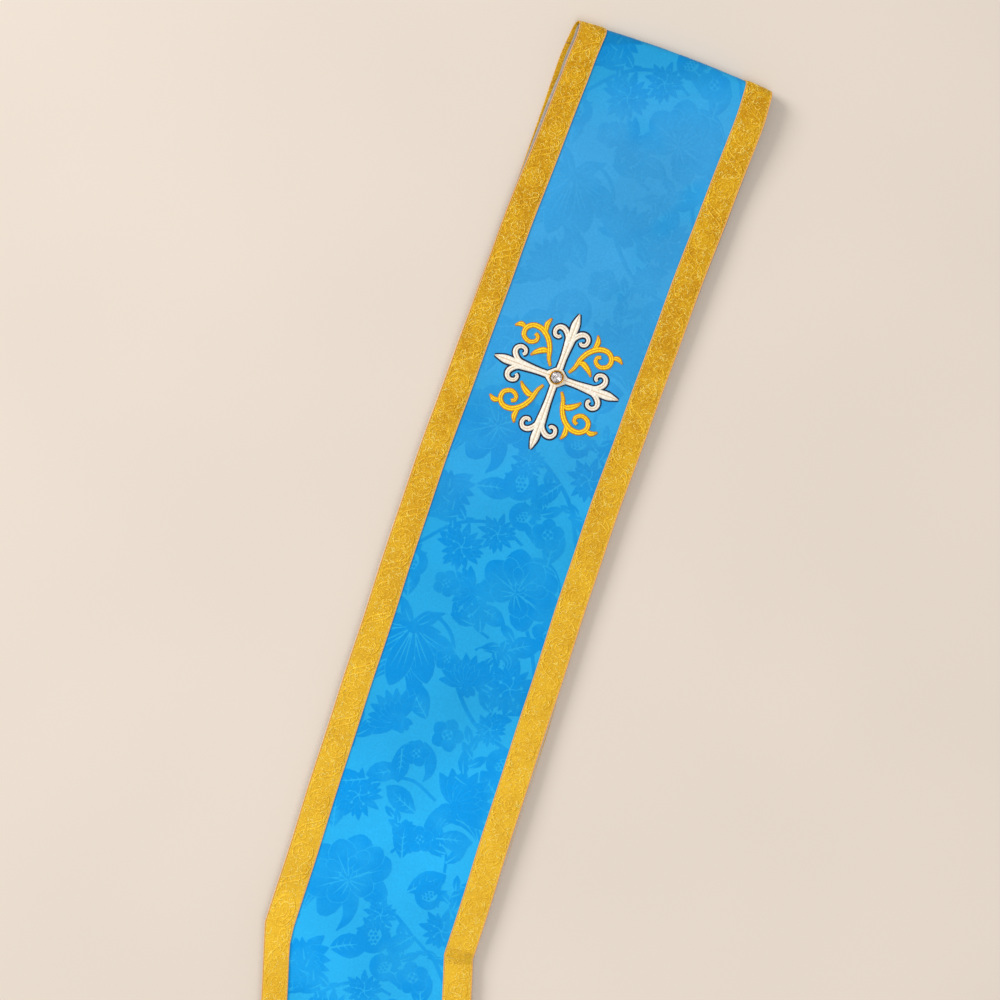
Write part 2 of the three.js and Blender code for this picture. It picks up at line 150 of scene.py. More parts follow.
def plan_table():
    """Cross sections of the plan at each mm: along, middle x and y, and what one mm of width spans in x and y.

    The emblem's stone lies on the straight run, so its node says where the fold is in the row frame.
    """
    stone_low, stone_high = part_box("crystal")
    stone = (stone_low + stone_high) / 2 / MM
    heading = math.radians(HEADING_AT_FOLD)
    dx, dy, _ = walked((0.0, 0.0, heading), SHOULDER_RUNS, EMBLEM_AT)
    start = (stone.x - dx, stone.y - dy, heading)
    mitre = walked(start, SHOULDER_RUNS, SHOULDER_LENGTH)
    half = math.radians(MITRE_TURN) / 2
    fall = (*mitre[:2], mitre[2] + 2 * half)
    rows = []
    for along in range(-10, int(HEM_AT) + 11):
        stretch = 1.0
        if along == SHOULDER_LENGTH:
            x, y, heading = (*mitre[:2], mitre[2] + half)
            stretch = 1 / math.cos(half)
        elif abs(along - SHOULDER_LENGTH) < CLEAR_OF_MITRE:
            continue
        elif along < SHOULDER_LENGTH:
            x, y, heading = walked(start, SHOULDER_RUNS, along)
        else:
            x, y, heading = walked(fall, FALL_RUNS, along - SHOULDER_LENGTH)
        rows.append((along, x, y, math.cos(heading) * stretch, -math.sin(heading) * stretch))
    return np.array(rows).T


PLAN = plan_table()


def on_plan(along, across):
    x, y, dx, dy = (np.interp(along, PLAN[0], column) for column in PLAN[1:])
    return x + across * dx, y + across * dy


def back_shift(along):
    places, shifts = np.array(BACK_SHIFTS).T
    k = np.clip(np.searchsorted(places, along, side="right") - 1, 0, len(places) - 2)
    share = smooth_step((along - places[k]) / (places[k + 1] - places[k]))
    return shifts[k] + (shifts[k + 1] - shifts[k]) * share


def band_point(s, across, radius):
    """Points in metres on the layer of that radius. s, across and radius are arrays or numbers in mm."""
    s, across, radius = np.broadcast_arrays(*(np.asarray(v, dtype=float) for v in (s, across, radius)))
    front, back = s > FOLD_ARC / 2, s < -FOLD_ARC / 2
    flat = front | back
    angle = math.pi * np.clip(0.5 - s / FOLD_ARC, 0.0, 1.0)
    along = FOLD_MIDDLE + np.where(flat, np.abs(s) - FOLD_ARC / 2, -radius * np.sin(angle))
    settled = FOLD_SETTLES_BY * smooth_step((along - FOLD_MIDDLE) / FOLD_SETTLES_IN)
    lift = sum(high * bump(along - at, long) * bump(across - off, wide) for at, off, long, wide, high in SWELLS)
    height = np.where(front, radius - settled + lift, np.where(back, -radius, radius * np.cos(angle)))
    pinched = across * (1 - FOLD_PINCH * (1 - smooth_step(along / PINCH_LENGTH)))
    sway = SWAY * (np.sin(along / 31.0 + 0.8) + 0.6 * np.sin(along / 12.7)) * smooth_step(along / 40.0)
    moved_by = np.where(front, sway, -0.7 * sway - np.where(back, back_shift(along), 0.0))
    in_fold = -BACK_SHIFTS[0][1] * smooth_step(angle / math.pi)
    leaning = SHOULDER_LEAN * (1 - smooth_step(along / LEANS_OVER))
    out = FOLD_BULGE * (1 - (across / GALLOON_OUTER) ** 2) * (1 - smooth_step(along / BULGE_FADES_IN))
    x, y = on_plan(along - out, pinched + leaning + np.where(flat, moved_by, in_fold))
    return np.stack([x, y, FOLD_MIDDLE + height], axis=-1) * MM


def s_at(along):
    """The s of a place that far along the plan of the front half."""
    return along - FOLD_MIDDLE + FOLD_ARC / 2


HEM_S = s_at(HEM_AT)
MITRE_S = s_at(SHOULDER_LENGTH)
EMBLEM_S = s_at(EMBLEM_AT)
BACK_SEAM_S = -s_at(SEAM_BEHIND_FOLD)


def span(half, off_seam, off_hem):
    """Where a piece of one half starts and ends, that far off the shoulder seam and the hem."""
    if half == "front":
        return BACK_SEAM_S + off_seam, HEM_S - off_hem
    return off_hem - HEM_S, BACK_SEAM_S - off_seam


# Making meshes. Each is drawn flat, in points of (across, s, radius), and then laid on the band.
def sewn_down(flat):
    """Galloon as it is sewn: its face is lower along both edges, and the front's left strip is drawn in."""
    across, s, radius = np.array(flat).T
    left = across < 0
    narrow = np.clip((s - MITRE_S) * math.tan(math.radians(-MITRE_TURN)), 0, NARROWER_LEFT) * left
    across = (across + GALLOON_OUTER) * (1 - narrow / GALLOON_WIDTH) - GALLOON_OUTER
    drawn_in = DRAWN_IN * smooth_step(s / FOLD_ARC) * (1 - smooth_step(s / DRAWN_UNTIL - 1)) * left
    across = (across + GALLOON_INNER) * (1 - drawn_in / GALLOON_WIDTH) - GALLOON_INNER
    inside = np.abs(across) - GALLOON_INNER
    dip = INNER_DIP * (1 - smooth_step(inside / DIP_WIDTH))
    dip += OUTER_DIP * (1 - smooth_step((GALLOON_WIDTH - inside) / DIP_WIDTH))
    share = np.clip((radius - DAMASK_OUT) / (GALLOON_OUT - DAMASK_OUT), 0.0, 1.0)
    return np.column_stack([across, s, radius - dip * share])


def lay(name, flat, faces, look, smooth=True, weave=None):
    """A mesh laid on the band. Its UV map "weave" has the threads' way: (across, s) in metres, or as given."""
    flat = np.asarray(flat, dtype=float)
    weave = flat[:, :2] if weave is None else np.asarray(weave)
    if name.startswith(("galloon", "stitches")):
        flat = sewn_down(flat)
    mesh = bpy.data.meshes.new(name)
    laid = band_point(flat[:, 1], flat[:, 0], flat[:, 2])
    mesh.from_pydata(laid.tolist(), [], [tuple(face)[::-1] for face in faces])
    mesh.materials.append(look.material)
    mesh.polygons.foreach_set("use_smooth", [smooth] * len(mesh.polygons))
    mesh.uv_layers.new(name="weave").data.foreach_set("uv", (weave[corners_of(mesh)] * MM).ravel())
    mesh.update()
    piece = bpy.data.objects.new(name, mesh)
    bpy.context.collection.objects.link(piece)
    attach(piece, "root")
    return piece


def corners_of(mesh):
    """The vertex at each corner of each face."""
    corners = np.empty(len(mesh.loops), dtype=np.int32)
    mesh.loops.foreach_get("vertex_index", corners)
    return corners


def stations(start, end, step):
    """Places from start to end, about step apart, close round the fold and one on each mitre line."""
    places = np.linspace(start, end, max(2, int(abs(end - start) / step) + 1))
    for mark in (MITRE_S, -MITRE_S):
        if start < mark < end:
            places = np.append(places[np.abs(places - mark) > step * 0.4], mark)
    if start < FOLD_ARC / 2 and end > -FOLD_ARC / 2:
        fold = FOLD_LINES[(FOLD_LINES > start) & (FOLD_LINES < end)]
        places = np.append(places[np.abs(places) > FOLD_ARC / 2 + 1], fold)
    return np.unique(np.round(places, 4))


def shell_ring(left, right, inner, outer, panels):
    """The section of a cloth with rounded edges, as (across, radius) once round."""
    half = (outer - inner) / 2
    middle = (outer + inner) / 2
    across = np.linspace(left + half, right - half, panels + 1)
    edge = np.radians((30, 60, 90, 120, 150))
    ring = [(a, outer) for a in across]
    ring += [(right - half + half * math.sin(t), middle + half * math.cos(t)) for t in edge]
    ring += [(a, inner) for a in across[::-1]]
    ring += [(left + half - half * math.sin(t), middle - half * math.cos(t)) for t in edge]
    return np.array(ring)


def trimmed(s, across):
    """How far the edges of damask and lining lie out: they are cut back just behind the fold."""
    return -TRIM * smooth_step(-s / FOLD_ARC) * (1 - smooth_step(-s / TRIM_UNTIL - 1))


def lining_edge(s, across):
    """The same for the lining, which shows as a thin line past the front half's galloon."""
    shows = LINING_SHOWS + SHOWS_MORE * bump(s - SHOWS_MOST_AT, SHOWS_OVER) * (across > 0)
    return trimmed(s, across) + shows * smooth_step(s / SHOWS_FROM)


def add_shell(name, ends, edges, faces_at, look, panels, outset=None):
    """A thin closed cloth with rounded edges and ends, and its own bake map.

    It runs over ends in s and edges across, between two radii. outset gives how far its edges lie out.
    """
    (start, end), (left, right), (inner, outer) = ends, edges, faces_at
    ring = shell_ring(left, right, inner, outer, panels)
    middle, half = (outer + inner) / 2, (outer - inner) / 2
    round_off = [(half * math.cos(t), math.sin(t)) for t in np.radians((0, 25, 50, 70))]
    places = stations(start + half, end - half, CLOTH_STEP)
    rows = [(places[0] - out, thin) for out, thin in round_off]
    rows += [(place, 1.0) for place in places]
    rows += [(places[-1] + out, thin) for out, thin in reversed(round_off)]
    s, thin = np.array(rows).T
    shape = (len(rows), len(ring))
    radii = middle + (ring[None, :, 1] - middle) * thin[:, None]
    across = np.broadcast_to(ring[:, 0], shape)
    s_here = np.broadcast_to(s[:, None], shape)
    if outset:
        across = across * (1 + outset(s_here, across) / right)
    flat = np.stack([across, s_here, radii], axis=-1)
    i, k = (index.ravel() for index in np.mgrid[0:len(rows) - 1, 0:len(ring)])
    n = (k + 1) % len(ring)
    faces = np.stack([k, n, n + len(ring), k + len(ring)], axis=1) + (i * len(ring))[:, None]
    piece = lay(name, flat.reshape(-1, 3), faces.tolist(), look)
    map_for_bake(piece.data, s, ring)
    made = bmesh.new()
    made.from_mesh(piece.data)
    bmesh.ops.remove_doubles(made, verts=made.verts, dist=1e-7)
    made.to_mesh(piece.data)
    made.free()
    return piece


def map_for_bake(mesh, places, ring):
    """Lays a long shell out in rows side by side, so that its bake map is used evenly."""
    steps = np.hypot(*(np.roll(ring, -1, axis=0) - ring).T)
    round_it = np.concatenate([[0.0], np.cumsum(steps)]) / steps.sum()
    rows = max(1, round(math.sqrt((places[-1] - places[0]) / steps.sum())))
    cuts = np.linspace(0, len(places) - 1, rows + 1).astype(int)
    longest = max(places[b] - places[a] for a, b in zip(cuts, cuts[1:]))
    face_span, face_step = np.divmod(np.arange(len(mesh.loops)) // 4, len(ring))
    corner_place, corner_step = np.divmod(corners_of(mesh), len(ring))
    row = np.searchsorted(cuts, face_span, side="right") - 1
    closes = (face_step == len(ring) - 1) & (corner_step == 0)
    around = np.where(closes, 1.0, round_it[corner_step])
    along = (places[corner_place] - places[cuts[row]]) / longest
    keep = 1 - 2 * BAKE_MARGIN
    uv = np.stack([BAKE_MARGIN + along * keep, (row + BAKE_MARGIN + around * keep) / rows], axis=1)
    mesh.uv_layers.new(name="OFBake").data.foreach_set("uv", uv.ravel())


def resampled(line, step):
    """The same line of any number of columns, with its points step mm apart on the flat."""
    line = np.asarray(line, dtype=float)
    lengths = np.concatenate([[0.0], np.cumsum(np.hypot(*np.diff(line[:, :2], axis=0).T))])
    count = max(2, round(lengths[-1] / step) + 1)
    at = np.linspace(0.0, lengths[-1], count)
    return np.stack([np.interp(at, lengths, column) for column in line.T], axis=1)


THREAD = ((-0.5, 0.0), (0.0, 1.0), (0.5, 0.0))
CORD = ((-0.5, 0.0), (-0.36, 0.7), (0.0, 1.0), (0.36, 0.7), (0.5, 0.0))
SATIN = ((-0.5, 0.0), (-0.44, 0.6), (-0.27, 1.0), (-0.09, 0.85), (0.0, 0.6), (0.09, 0.85), (0.27, 1.0),
         (0.44, 0.6), (0.5, 0.0))
ROOT = -0.08  # how far a stroke is let into what it lies on
STROKE_SHIFT = 3.7  # keeps the threads of one stroke from matching those of the next


class Strokes:
    """Raised lines on the flat, gathered into one mesh. Each has a closed section and closed ends."""

    def __init__(self, profile=CORD):
        self.profile = np.array(profile)
        self.points = []
        self.weave = []
        self.faces = []
        self.count = 0

    def add(self, line, base, closed=False):
        """line holds (across, s, width, height) along it, and base is the radius of what it lies on."""
        line = np.asarray(line, dtype=float)
        ahead = np.roll(line, -1, axis=0) if closed else np.vstack([line[1:], line[-1:]])
        behind = np.roll(line, 1, axis=0) if closed else np.vstack([line[:1], line[:-1]])
        way = (ahead - behind)[:, :2]
        way /= np.maximum(np.hypot(way[:, 0], way[:, 1]), 1e-6)[:, None]
        off, up = self.profile.T
        across = line[:, :1] - way[:, 1:] * line[:, 2:3] * off
        s = line[:, 1:2] + way[:, :1] * line[:, 2:3] * off
        radius = base + np.where(up > 0, line[:, 3:4] * up, ROOT)
        self.points.append(np.stack([across, s, radius], axis=-1).reshape(-1, 3))
        walked_by = np.cumsum(np.hypot(*(line - behind)[:, :2].T) * (np.arange(len(line)) > 0))
        walked_by += STROKE_SHIFT * len(self.weave)
        weave = np.stack(np.broadcast_arrays(line[:, 2:3] * off, walked_by[:, None]), axis=-1)
        self.weave.append(weave.reshape(-1, 2))
        wide, rows = len(off), len(line)
        i, k = (index.ravel() for index in np.mgrid[0:rows if closed else rows - 1, 0:wide])
        n, m = (i + 1) % rows, (k + 1) % wide
        first = self.count
        quads = np.stack([i * wide + k, n * wide + k, n * wide + m, i * wide + m], axis=1) + first
        self.faces += quads.tolist()
        if not closed:
            self.faces.append(list(range(first, first + wide)))
            self.faces.append(list(range(first + rows * wide - 1, first + (rows - 1) * wide - 1, -1)))
        self.count += rows * wide

    def laid(self, name, look):
        return lay(name, np.concatenate(self.points), self.faces, look, weave=np.concatenate(self.weave))


# Looks. Each is a Principled shader with nodes for its weave, darker and lighter patches, painted light and
# shade, and change of colour.
WAVE_PERIOD = 2 * math.pi / 20  # a wave texture of scale 1 repeats after this much


def srgb(red, green, blue):
    """A colour as it looks on screen, 0 to 255, for a shader."""
    return tuple(((c / 255 + 0.055) / 1.055) ** 2.4 for c in (red, green, blue)) + (1.0,)


class Look:
    """A material, with the name of its slot kept but not used, and short calls that add nodes to it. Lengths
    are in mm.
    """

    def __init__(self, name, slot, **settings):
        self.slot = slot
        self.material = bpy.data.materials.new(name)
        self.material.use_nodes = True
        self.nodes = self.material.node_tree.nodes
        self.shader = self.nodes["Principled BSDF"]
        for socket, value in settings.items():
            self.set(socket.replace("_", " "), value)
        self.place = self.node("TexCoord").outputs["Object"]
        self.weave = self.node("UVMap", uv_map="weave").outputs["UV"]

    def set(self, socket, value, node=None):
        """Sets a socket of the shader or of a node, or links another socket to it."""
        socket = (node or self.shader).inputs[socket]
        if isinstance(value, bpy.types.NodeSocket):
            self.material.node_tree.links.new(value, socket)
        else:
            socket.default_value = value

    def node(self, kind, inputs=(), **settings):
        node = self.nodes.new("ShaderNode" + kind)
        for key, value in settings.items():
            setattr(node, key, value)
        for key, value in dict(inputs).items():
            self.set(key, value, node)
        return node

    def maths(self, operation, first, second=0.0, third=0.0):
        return self.node("Math", {0: first, 1: second, 2: third}, operation=operation).outputs[0]

    def fit(self, value, low, high, to_low=0.0, to_high=1.0):
        """value from low..high to to_low..to_high, smoothly and held at both ends."""
        sockets = {"Value": value, "From Min": low, "From Max": high, "To Min": to_low, "To Max": to_high}
        return self.node("MapRange", sockets, interpolation_type="SMOOTHSTEP").outputs["Result"]

    def noise(self, size, detail=2.0, where=None, stretch=(1, 1, 1)):
        """Noise of about that size in mm."""
        mapped = self.node("Mapping", {"Vector": where or self.place, "Scale": stretch}).outputs[0]
        sockets = {"Vector": mapped, "Scale": 1000 / size, "Detail": detail}
        return self.node("TexNoise", sockets).outputs["Fac"]

    def down_the_band(self):
        """How far a point is towards the hem end of the scene, in mm from the fold."""
        y = self.node("SeparateXYZ", {0: self.place}).outputs["Y"]
        return self.maths("MULTIPLY_ADD", y, -1000.0, PLAN[2].max())

    def threads(self, pitch, degrees):
        """Parallel threads of that pitch, 0 to 1, turned from straight across the cloth or stroke."""
        turn = (0.0, 0.0, math.radians(degrees))
        mapped = self.node("Mapping", {"Vector": self.weave, "Rotation": turn}).outputs[0]
        sockets = {"Vector": mapped, "Scale": WAVE_PERIOD * 1000 / pitch}
        return self.node("TexWave", sockets, bands_direction="Y").outputs["Fac"]

    def mix(self, share, first, second, blend="MIX"):
        sockets = {0: share, 6: first, 7: second}
        return self.node("Mix", sockets, data_type="RGBA", blend_type=blend).outputs[2]

    def shade(self, colour, value, low, high):
        """colour made darker or lighter: times low where value is 0 and times high where it is 1."""
        factor = self.fit(value, 0.25, 0.75, low, high)
        grey = self.node("CombineColor", {0: factor, 1: factor, 2: factor}).outputs[0]
        return self.mix(1.0, colour, grey, "MULTIPLY")

    def bump(self, height, depth, strength=1.0):
        """Bump of that depth in mm."""
        sockets = {"Height": height, "Distance": depth * MM, "Strength": strength}
        self.set("Normal", self.node("Bump", sockets).outputs[0])


# Painted glint on the galloon's metal threads.
PAINTED_GLINT = srgb(255, 234, 110)
# Painted light: the galloon's gold towards the hem.
PAINTED_LIGHT_GOLD = srgb(252, 210, 66)
# Painted sheen: the damask's two tones lie close (faint) towards the shoulder and apart (bold) further down.
FAINT_UNTIL = 150.0
BOLD_FROM = 350.0
# Painted light: how much lighter the damask is painted towards the hem.
HEM_PAINTED_LIGHT = 1.16
GROUND_FAINT, GROUND_BOLD = srgb(60, 159, 220), srgb(35, 164, 226)
FIGURE_FAINT, FIGURE_BOLD = srgb(52, 152, 215), srgb(0, 140, 217)


def damask_look(name, roughness, woven_figure):
    """Damask in its two tones, painted closer together towards the shoulder as a painted sheen. A figure fades
    over its soft edge.
    """
    look = Look(name, "damask", Roughness=roughness, Sheen_Weight=0.015, Sheen_Roughness=0.4,
                Specular_IOR_Level=0.06)
    down = look.down_the_band()
    from_fold = look.maths("MULTIPLY_ADD", look.noise(12, 2.0), 10.0, down)
    # Painted sheen: how far apart the two tones lie, less towards the shoulder and in uneven patches.
    wander = look.maths("MULTIPLY_ADD", look.noise(90, 1.0), 160.0, -80.0)
    bold = look.fit(look.maths("ADD", down, wander), FAINT_UNTIL, BOLD_FROM)
    bold = look.maths("MAXIMUM", bold, look.fit(look.noise(36, 1.0), 0.56, 0.78, 0.0, 0.5))
    # Painted sheen and shade: close to the fold the tones are set apart again.
    bold = look.maths("MAXIMUM", bold, look.fit(from_fold, 10.0, 80.0, 0.9, 0.0))
    colour = look.mix(bold, GROUND_FAINT, GROUND_BOLD)
    if woven_figure:
        tone = look.node("Attribute", attribute_name="tone").outputs["Fac"]
        floats = look.fit(look.noise(24, 2.0), 0.34, 0.62, 0.6, 1.0)
        share = look.maths("MULTIPLY", look.fit(tone, 0.05, 1.0), floats)
        colour = look.mix(share, colour, look.mix(bold, FIGURE_FAINT, FIGURE_BOLD))
    for value, low, high in (
        (look.noise(60, 2.0), 0.93, 1.07),
        # painted shade along the fold, in two steps
        (look.fit(from_fold, 4.0, 14.0), 0.84, 1.0),
        (look.fit(from_fold, 10.0, 55.0), 0.9, 1.0),
        # painted light towards the hem
        (look.fit(down, 370.0, 570.0), 1.0, HEM_PAINTED_LIGHT),
        (look.noise(1.4, 3.0), 0.95, 1.05),
    ):
        colour = look.shade(colour, value, low, high)
    twill = look.threads(0.75, -32 if woven_figure else 32)
    look.set("Base Color", look.shade(colour, twill, 0.985, 1.015))
    look.bump(look.maths("ADD", twill, look.noise(0.9, 2.0)), 0.05, 0.5)
    return look


def gold_look(name, dark, light, metallic, roughness):
    """Metal thread brocade: crosswise ribs, darker and lighter patches, and painted glints. Painted light makes
    it paler towards the hem.
    """
    look = Look(name, "galloon", Metallic=metallic, Roughness=roughness, Specular_IOR_Level=0.12)
    patches = look.maths("MULTIPLY_ADD", look.noise(2.2, 3.0), 0.9, look.noise(16, 3.0))
    colour = look.mix(look.fit(patches, 0.68, 1.2), dark, light)
    ribs = look.threads(0.7, 0)
    colour = look.shade(colour, ribs, 0.93, 1.05)
    # Painted glints: small flecks turned pale, standing in for light off metal thread. They also drive the
    # bump.
    glint_flecks = look.noise(1.0, 1.0, where=look.weave, stretch=(1.0, 2.0, 1.0))
    colour = look.mix(look.fit(glint_flecks, 0.58, 0.70, 0.0, 0.8), colour, PAINTED_GLINT)
    # Painted light: the gold is paler towards the hem.
    colour = look.mix(look.fit(look.down_the_band(), 100.0, 560.0, 0.0, 0.45), colour, PAINTED_LIGHT_GOLD)
    look.set("Base Color", colour)
    look.set("Roughness", look.fit(look.noise(3.0), 0.3, 0.7, roughness - 0.08, roughness + 0.1))
    look.bump(look.maths("MULTIPLY_ADD", glint_flecks, 2.0, ribs), 0.12, 0.7)
    return look


def thread_look(name, slot, dark, light, roughness=0.42, middle=None, fold_shade=1.0):
    """Thread that runs straight across a stroke. middle is the colour of a painted shade along the groove where
    two rows of satin meet, and fold_shade the share of its colour that it keeps near the fold, a painted shade
    there.
    """
    look = Look(name, slot, Roughness=roughness, Sheen_Weight=0.1, Specular_IOR_Level=0.3)
    streaks = look.noise(1.1, 2.0, where=look.weave, stretch=(0.2, 1.0, 1.0))
    colour = look.mix(look.fit(streaks, 0.3, 0.7), dark, light)
    if middle:
        # Painted shade along the groove where two rows of satin meet.
        off = look.maths("ABSOLUTE", look.node("SeparateXYZ", {0: look.weave}).outputs["X"])
        colour = look.mix(look.fit(off, 0.00012, 0.0005, 0.7, 0.0), colour, middle)
    # Painted shade: darker near the fold.
    if fold_shade < 1:
        colour = look.shade(colour, look.fit(look.down_the_band(), 90.0, 260.0), fold_shade, 1.0)
    threads = look.threads(0.6, 0)
    look.set("Base Color", look.shade(colour, threads, 0.93, 1.02))
    look.bump(look.maths("ADD", threads, streaks), 0.08, 0.6)
    return look


GROUND_LOOK = damask_look("damask_ground", 0.5, False)
FIGURE_LOOK = damask_look("damask_figure", 0.4, True)
GALLOON_LOOK = gold_look("galloon_ground", srgb(194, 137, 9), srgb(216, 166, 24), 0.3, 0.5)
RELIEF_LOOK = gold_look("galloon_relief", srgb(204, 149, 12), srgb(228, 181, 38), 0.35, 0.42)
# Painted glint: the pale colour of the galloon's raised loose threads and stitches stands in for light off
# metal thread.
SPARKLE_LOOK = thread_look("galloon_sparkle", "galloon", srgb(252, 218, 70), srgb(255, 246, 150), 0.3)
SELVEDGE_LOOK = thread_look("galloon_selvedge", "galloon", srgb(222, 158, 72), srgb(238, 182, 108))
LINING_LOOK = thread_look("lining_plain", "lining", srgb(196, 188, 184), srgb(222, 213, 205), 0.7, fold_shade=0.58)
WHITE_LOOK = thread_look("thread_white", "embroidery_white", srgb(238, 230, 212), srgb(255, 253, 244), 0.36,
                         srgb(206, 172, 130))
YELLOW_LOOK = thread_look("thread_gold", "embroidery_gold", srgb(250, 192, 0), srgb(255, 230, 10), 0.36,
                          srgb(214, 120, 0))
ORANGE_LOOK = thread_look("thread_orange", "embroidery_gold", srgb(170, 84, 4), srgb(210, 122, 10), 0.4)
NAVY_LOOK = thread_look("thread_navy", None, srgb(4, 12, 40), srgb(12, 26, 66), 0.55)


# The damask's floral figure, x across the band and y towards the fold, in mm.
FIGURE, GROUND = 1, 0


def turned(points, degrees, cx=0.0, cy=0.0):
    """Points turned anticlockwise about their origin and then moved to (cx, cy)."""
    c, s = math.cos(math.radians(degrees)), math.sin(math.radians(degrees))
    return [(cx + x * c - y * s, cy + x * s + y * c) for x, y in points]


def lerp(a, b, t):
    return a + (b - a) * t


def smooth_line(knots, per_span):
    """A Catmull-Rom line through knots of any number of values."""
    out = []
    for i in range(len(knots) - 1):
        p1, p2 = knots[i], knots[i + 1]
        p0 = knots[i - 1] if i else [2 * a - b for a, b in zip(p1, p2)]
        p3 = knots[i + 2] if i + 2 < len(knots) else [2 * b - a for a, b in zip(p1, p2)]
        for step in range(per_span):
            t = step / per_span
            out.append(tuple(
                0.5 * (2 * b + (c - a) * t + (2 * a - 5 * b + 4 * c - d) * t * t
                       + (3 * b - a - 3 * c + d) * t ** 3)
                for a, b, c, d in zip(p0, p1, p2, p3)))
    out.append(tuple(knots[-1]))
    return out


def ribbon(line):
    """The outline of a line of (x, y, width)."""
    left, right = [], []
    for i, (x, y, width) in enumerate(line):
        ax, ay = line[max(i - 1, 0)][:2]
        bx, by = line[min(i + 1, len(line) - 1)][:2]
        length = math.hypot(bx - ax, by - ay) or 1.0
        nx, ny = -(by - ay) / length * width / 2, (bx - ax) / length * width / 2
        left.append((x + nx, y + ny))
        right.append((x - nx, y - ny))
    return right + left[::-1]


def leaf_outline(length, width, lean=0.0, full=0.0, grow=0.0):
    """A leaf or petal from the origin along +y. full is 0 for a pointed one and 1 for a round one."""
    steps = max(4, round(3.5 + width / 3))
    line = []
    for i in range(steps + 1):
        t = (1 - math.cos(math.pi * i / steps)) / 2
        half = math.sin(math.pi * t ** lerp(0.8, 1.5, full)) ** lerp(1.0, 0.6, full)
        x = lean * length * math.sin(math.pi * t / 2) ** 2
        line.append((x, t * (length + 2 * grow) - grow, max(width * half + 2 * grow, 0.2)))
    return ribbon(line)


def moved(shapes, angle, x, y):
    return [(turned(shape, angle, x, y), tone) for shape, tone in shapes]


def leaf(x, y, angle, length, width, lean=0.0, full=0.15, rib=0.6):
    """A leaf whose pale midrib runs over that share of its length."""
    shapes = [(leaf_outline(length, width, lean, full), FIGURE)]
    if rib:
        knots = [(0.0, -0.4, 1.6), (lean * length * 0.4 * rib, length * 0.55 * rib, 1.4),
                 (lean * length * rib, length * rib, 0.5)]
        shapes.append((ribbon(smooth_line(knots, 4)), GROUND))
    return moved(shapes, angle, x, y)


def petal(x, y, angle, length, width, lean=0.0, rim=0.75, streaks=0, full=1.0):
    """A petal in a pale rim, with pale streaks from its root."""
    shapes = [(leaf_outline(length, width, lean, full, grow=rim), GROUND),
              (leaf_outline(length, width, lean, full), FIGURE)]
    for k in range(streaks):
        off = (k - (streaks - 1) / 2) / max(streaks, 1)
        line = [(off * width * 0.12, length * 0.08, 1.3),
                (off * width * 0.5 + lean * length * 0.3, length * 0.42, 1.3),
                (off * width * 0.8 + lean * length * 0.7, length * 0.72, 0.5)]
        shapes.append((ribbon(smooth_line(line, 3)), GROUND))
    return moved(shapes, angle, x, y)


def ring(x, y, radius, lobes=0, depth=0.0):
    steps = round(6 + 1.2 * radius) + 2 * lobes
    turns = [2 * math.pi * i / steps for i in range(steps)]
    reach = [radius * (1 + depth * math.cos(lobes * a)) for a in turns]
    return [(x + r * math.cos(a), y + r * math.sin(a)) for r, a in zip(reach, turns)]


def peony(size):
    """A full bloom seen from one side: broad petals round a heart of petals that curl over one another."""
    shapes = []
    for turn, reach, broad, lean in (
        (-104, 0.94, 0.62, 0.34), (104, 0.96, 0.62, -0.34), (-66, 1.08, 0.72, 0.2), (70, 1.04, 0.72, -0.2),
        (-28, 1.12, 0.76, 0.06), (32, 1.14, 0.74, -0.06), (148, 0.62, 0.5, 0.3), (-148, 0.6, 0.5, -0.3),
        (0, 0.98, 0.66, 0.0),
    ):
        shapes += petal(0, -size * 0.16, turn, size * reach, size * broad, lean, streaks=2)
    for k, reach in enumerate((0.80, 0.66, 0.54, 0.40, 0.28)):
        side = 1 if k % 2 else -1
        shapes += petal(-side * size * 0.30 * reach, size * (0.05 * k - 0.1), side * (33 - 4 * k), size * reach,
                        size * reach * 0.62, lean=-0.34 * side)
    return shapes


def lily(size):
    """A bloom seen from the side: long veined petals fan from the calyx, the middle ones in front."""
    shapes = []
    for off in (-1.0, 1.0, -0.5, 0.5, 0.0):
        shapes += petal(0, 0, -off * 56, size * (1.0 - 0.16 * abs(off)), size * 0.4, lean=0.24 * off, streaks=3,
                        full=0.7)
    for side in (-1, 1):
        shapes += leaf(0, 0, side * 112, size * 0.5, size * 0.17, lean=side * -0.4)
        shapes += leaf(0, 0, side * 82, size * 0.42, size * 0.14, lean=side * -0.3, rib=0)
    return shapes + [(ring(0, 0, size * 0.1), FIGURE)]


def tuft(size):
    """An open tufted bloom: two rows of narrow pointed petals all round, and pale threads over its eye."""
    shapes = []
    for count, reach in ((15, 1.0), (9, 0.66)):
        for k in range(count):
            long = size * reach * (0.88 + 0.12 * math.cos(3 * k))
            lean = 0.12 * math.sin(5 * k)
            shapes += petal(0, 0, 360 * k / count, long, long * 0.32, lean, rim=0.5, full=0.3)
    shapes.append((ring(0, 0, size * 0.34, 9, 0.1), FIGURE))
    thread = ribbon([(0, 0, 1.2), (0.05 * size, size * 0.2, 1.1), (0, size * 0.36, 0.9)])
    for k in range(5):
        shapes += moved([(thread, GROUND), (ring(0, size * 0.38, size * 0.07), GROUND)], 72 * k, 0, 0)
    return shapes


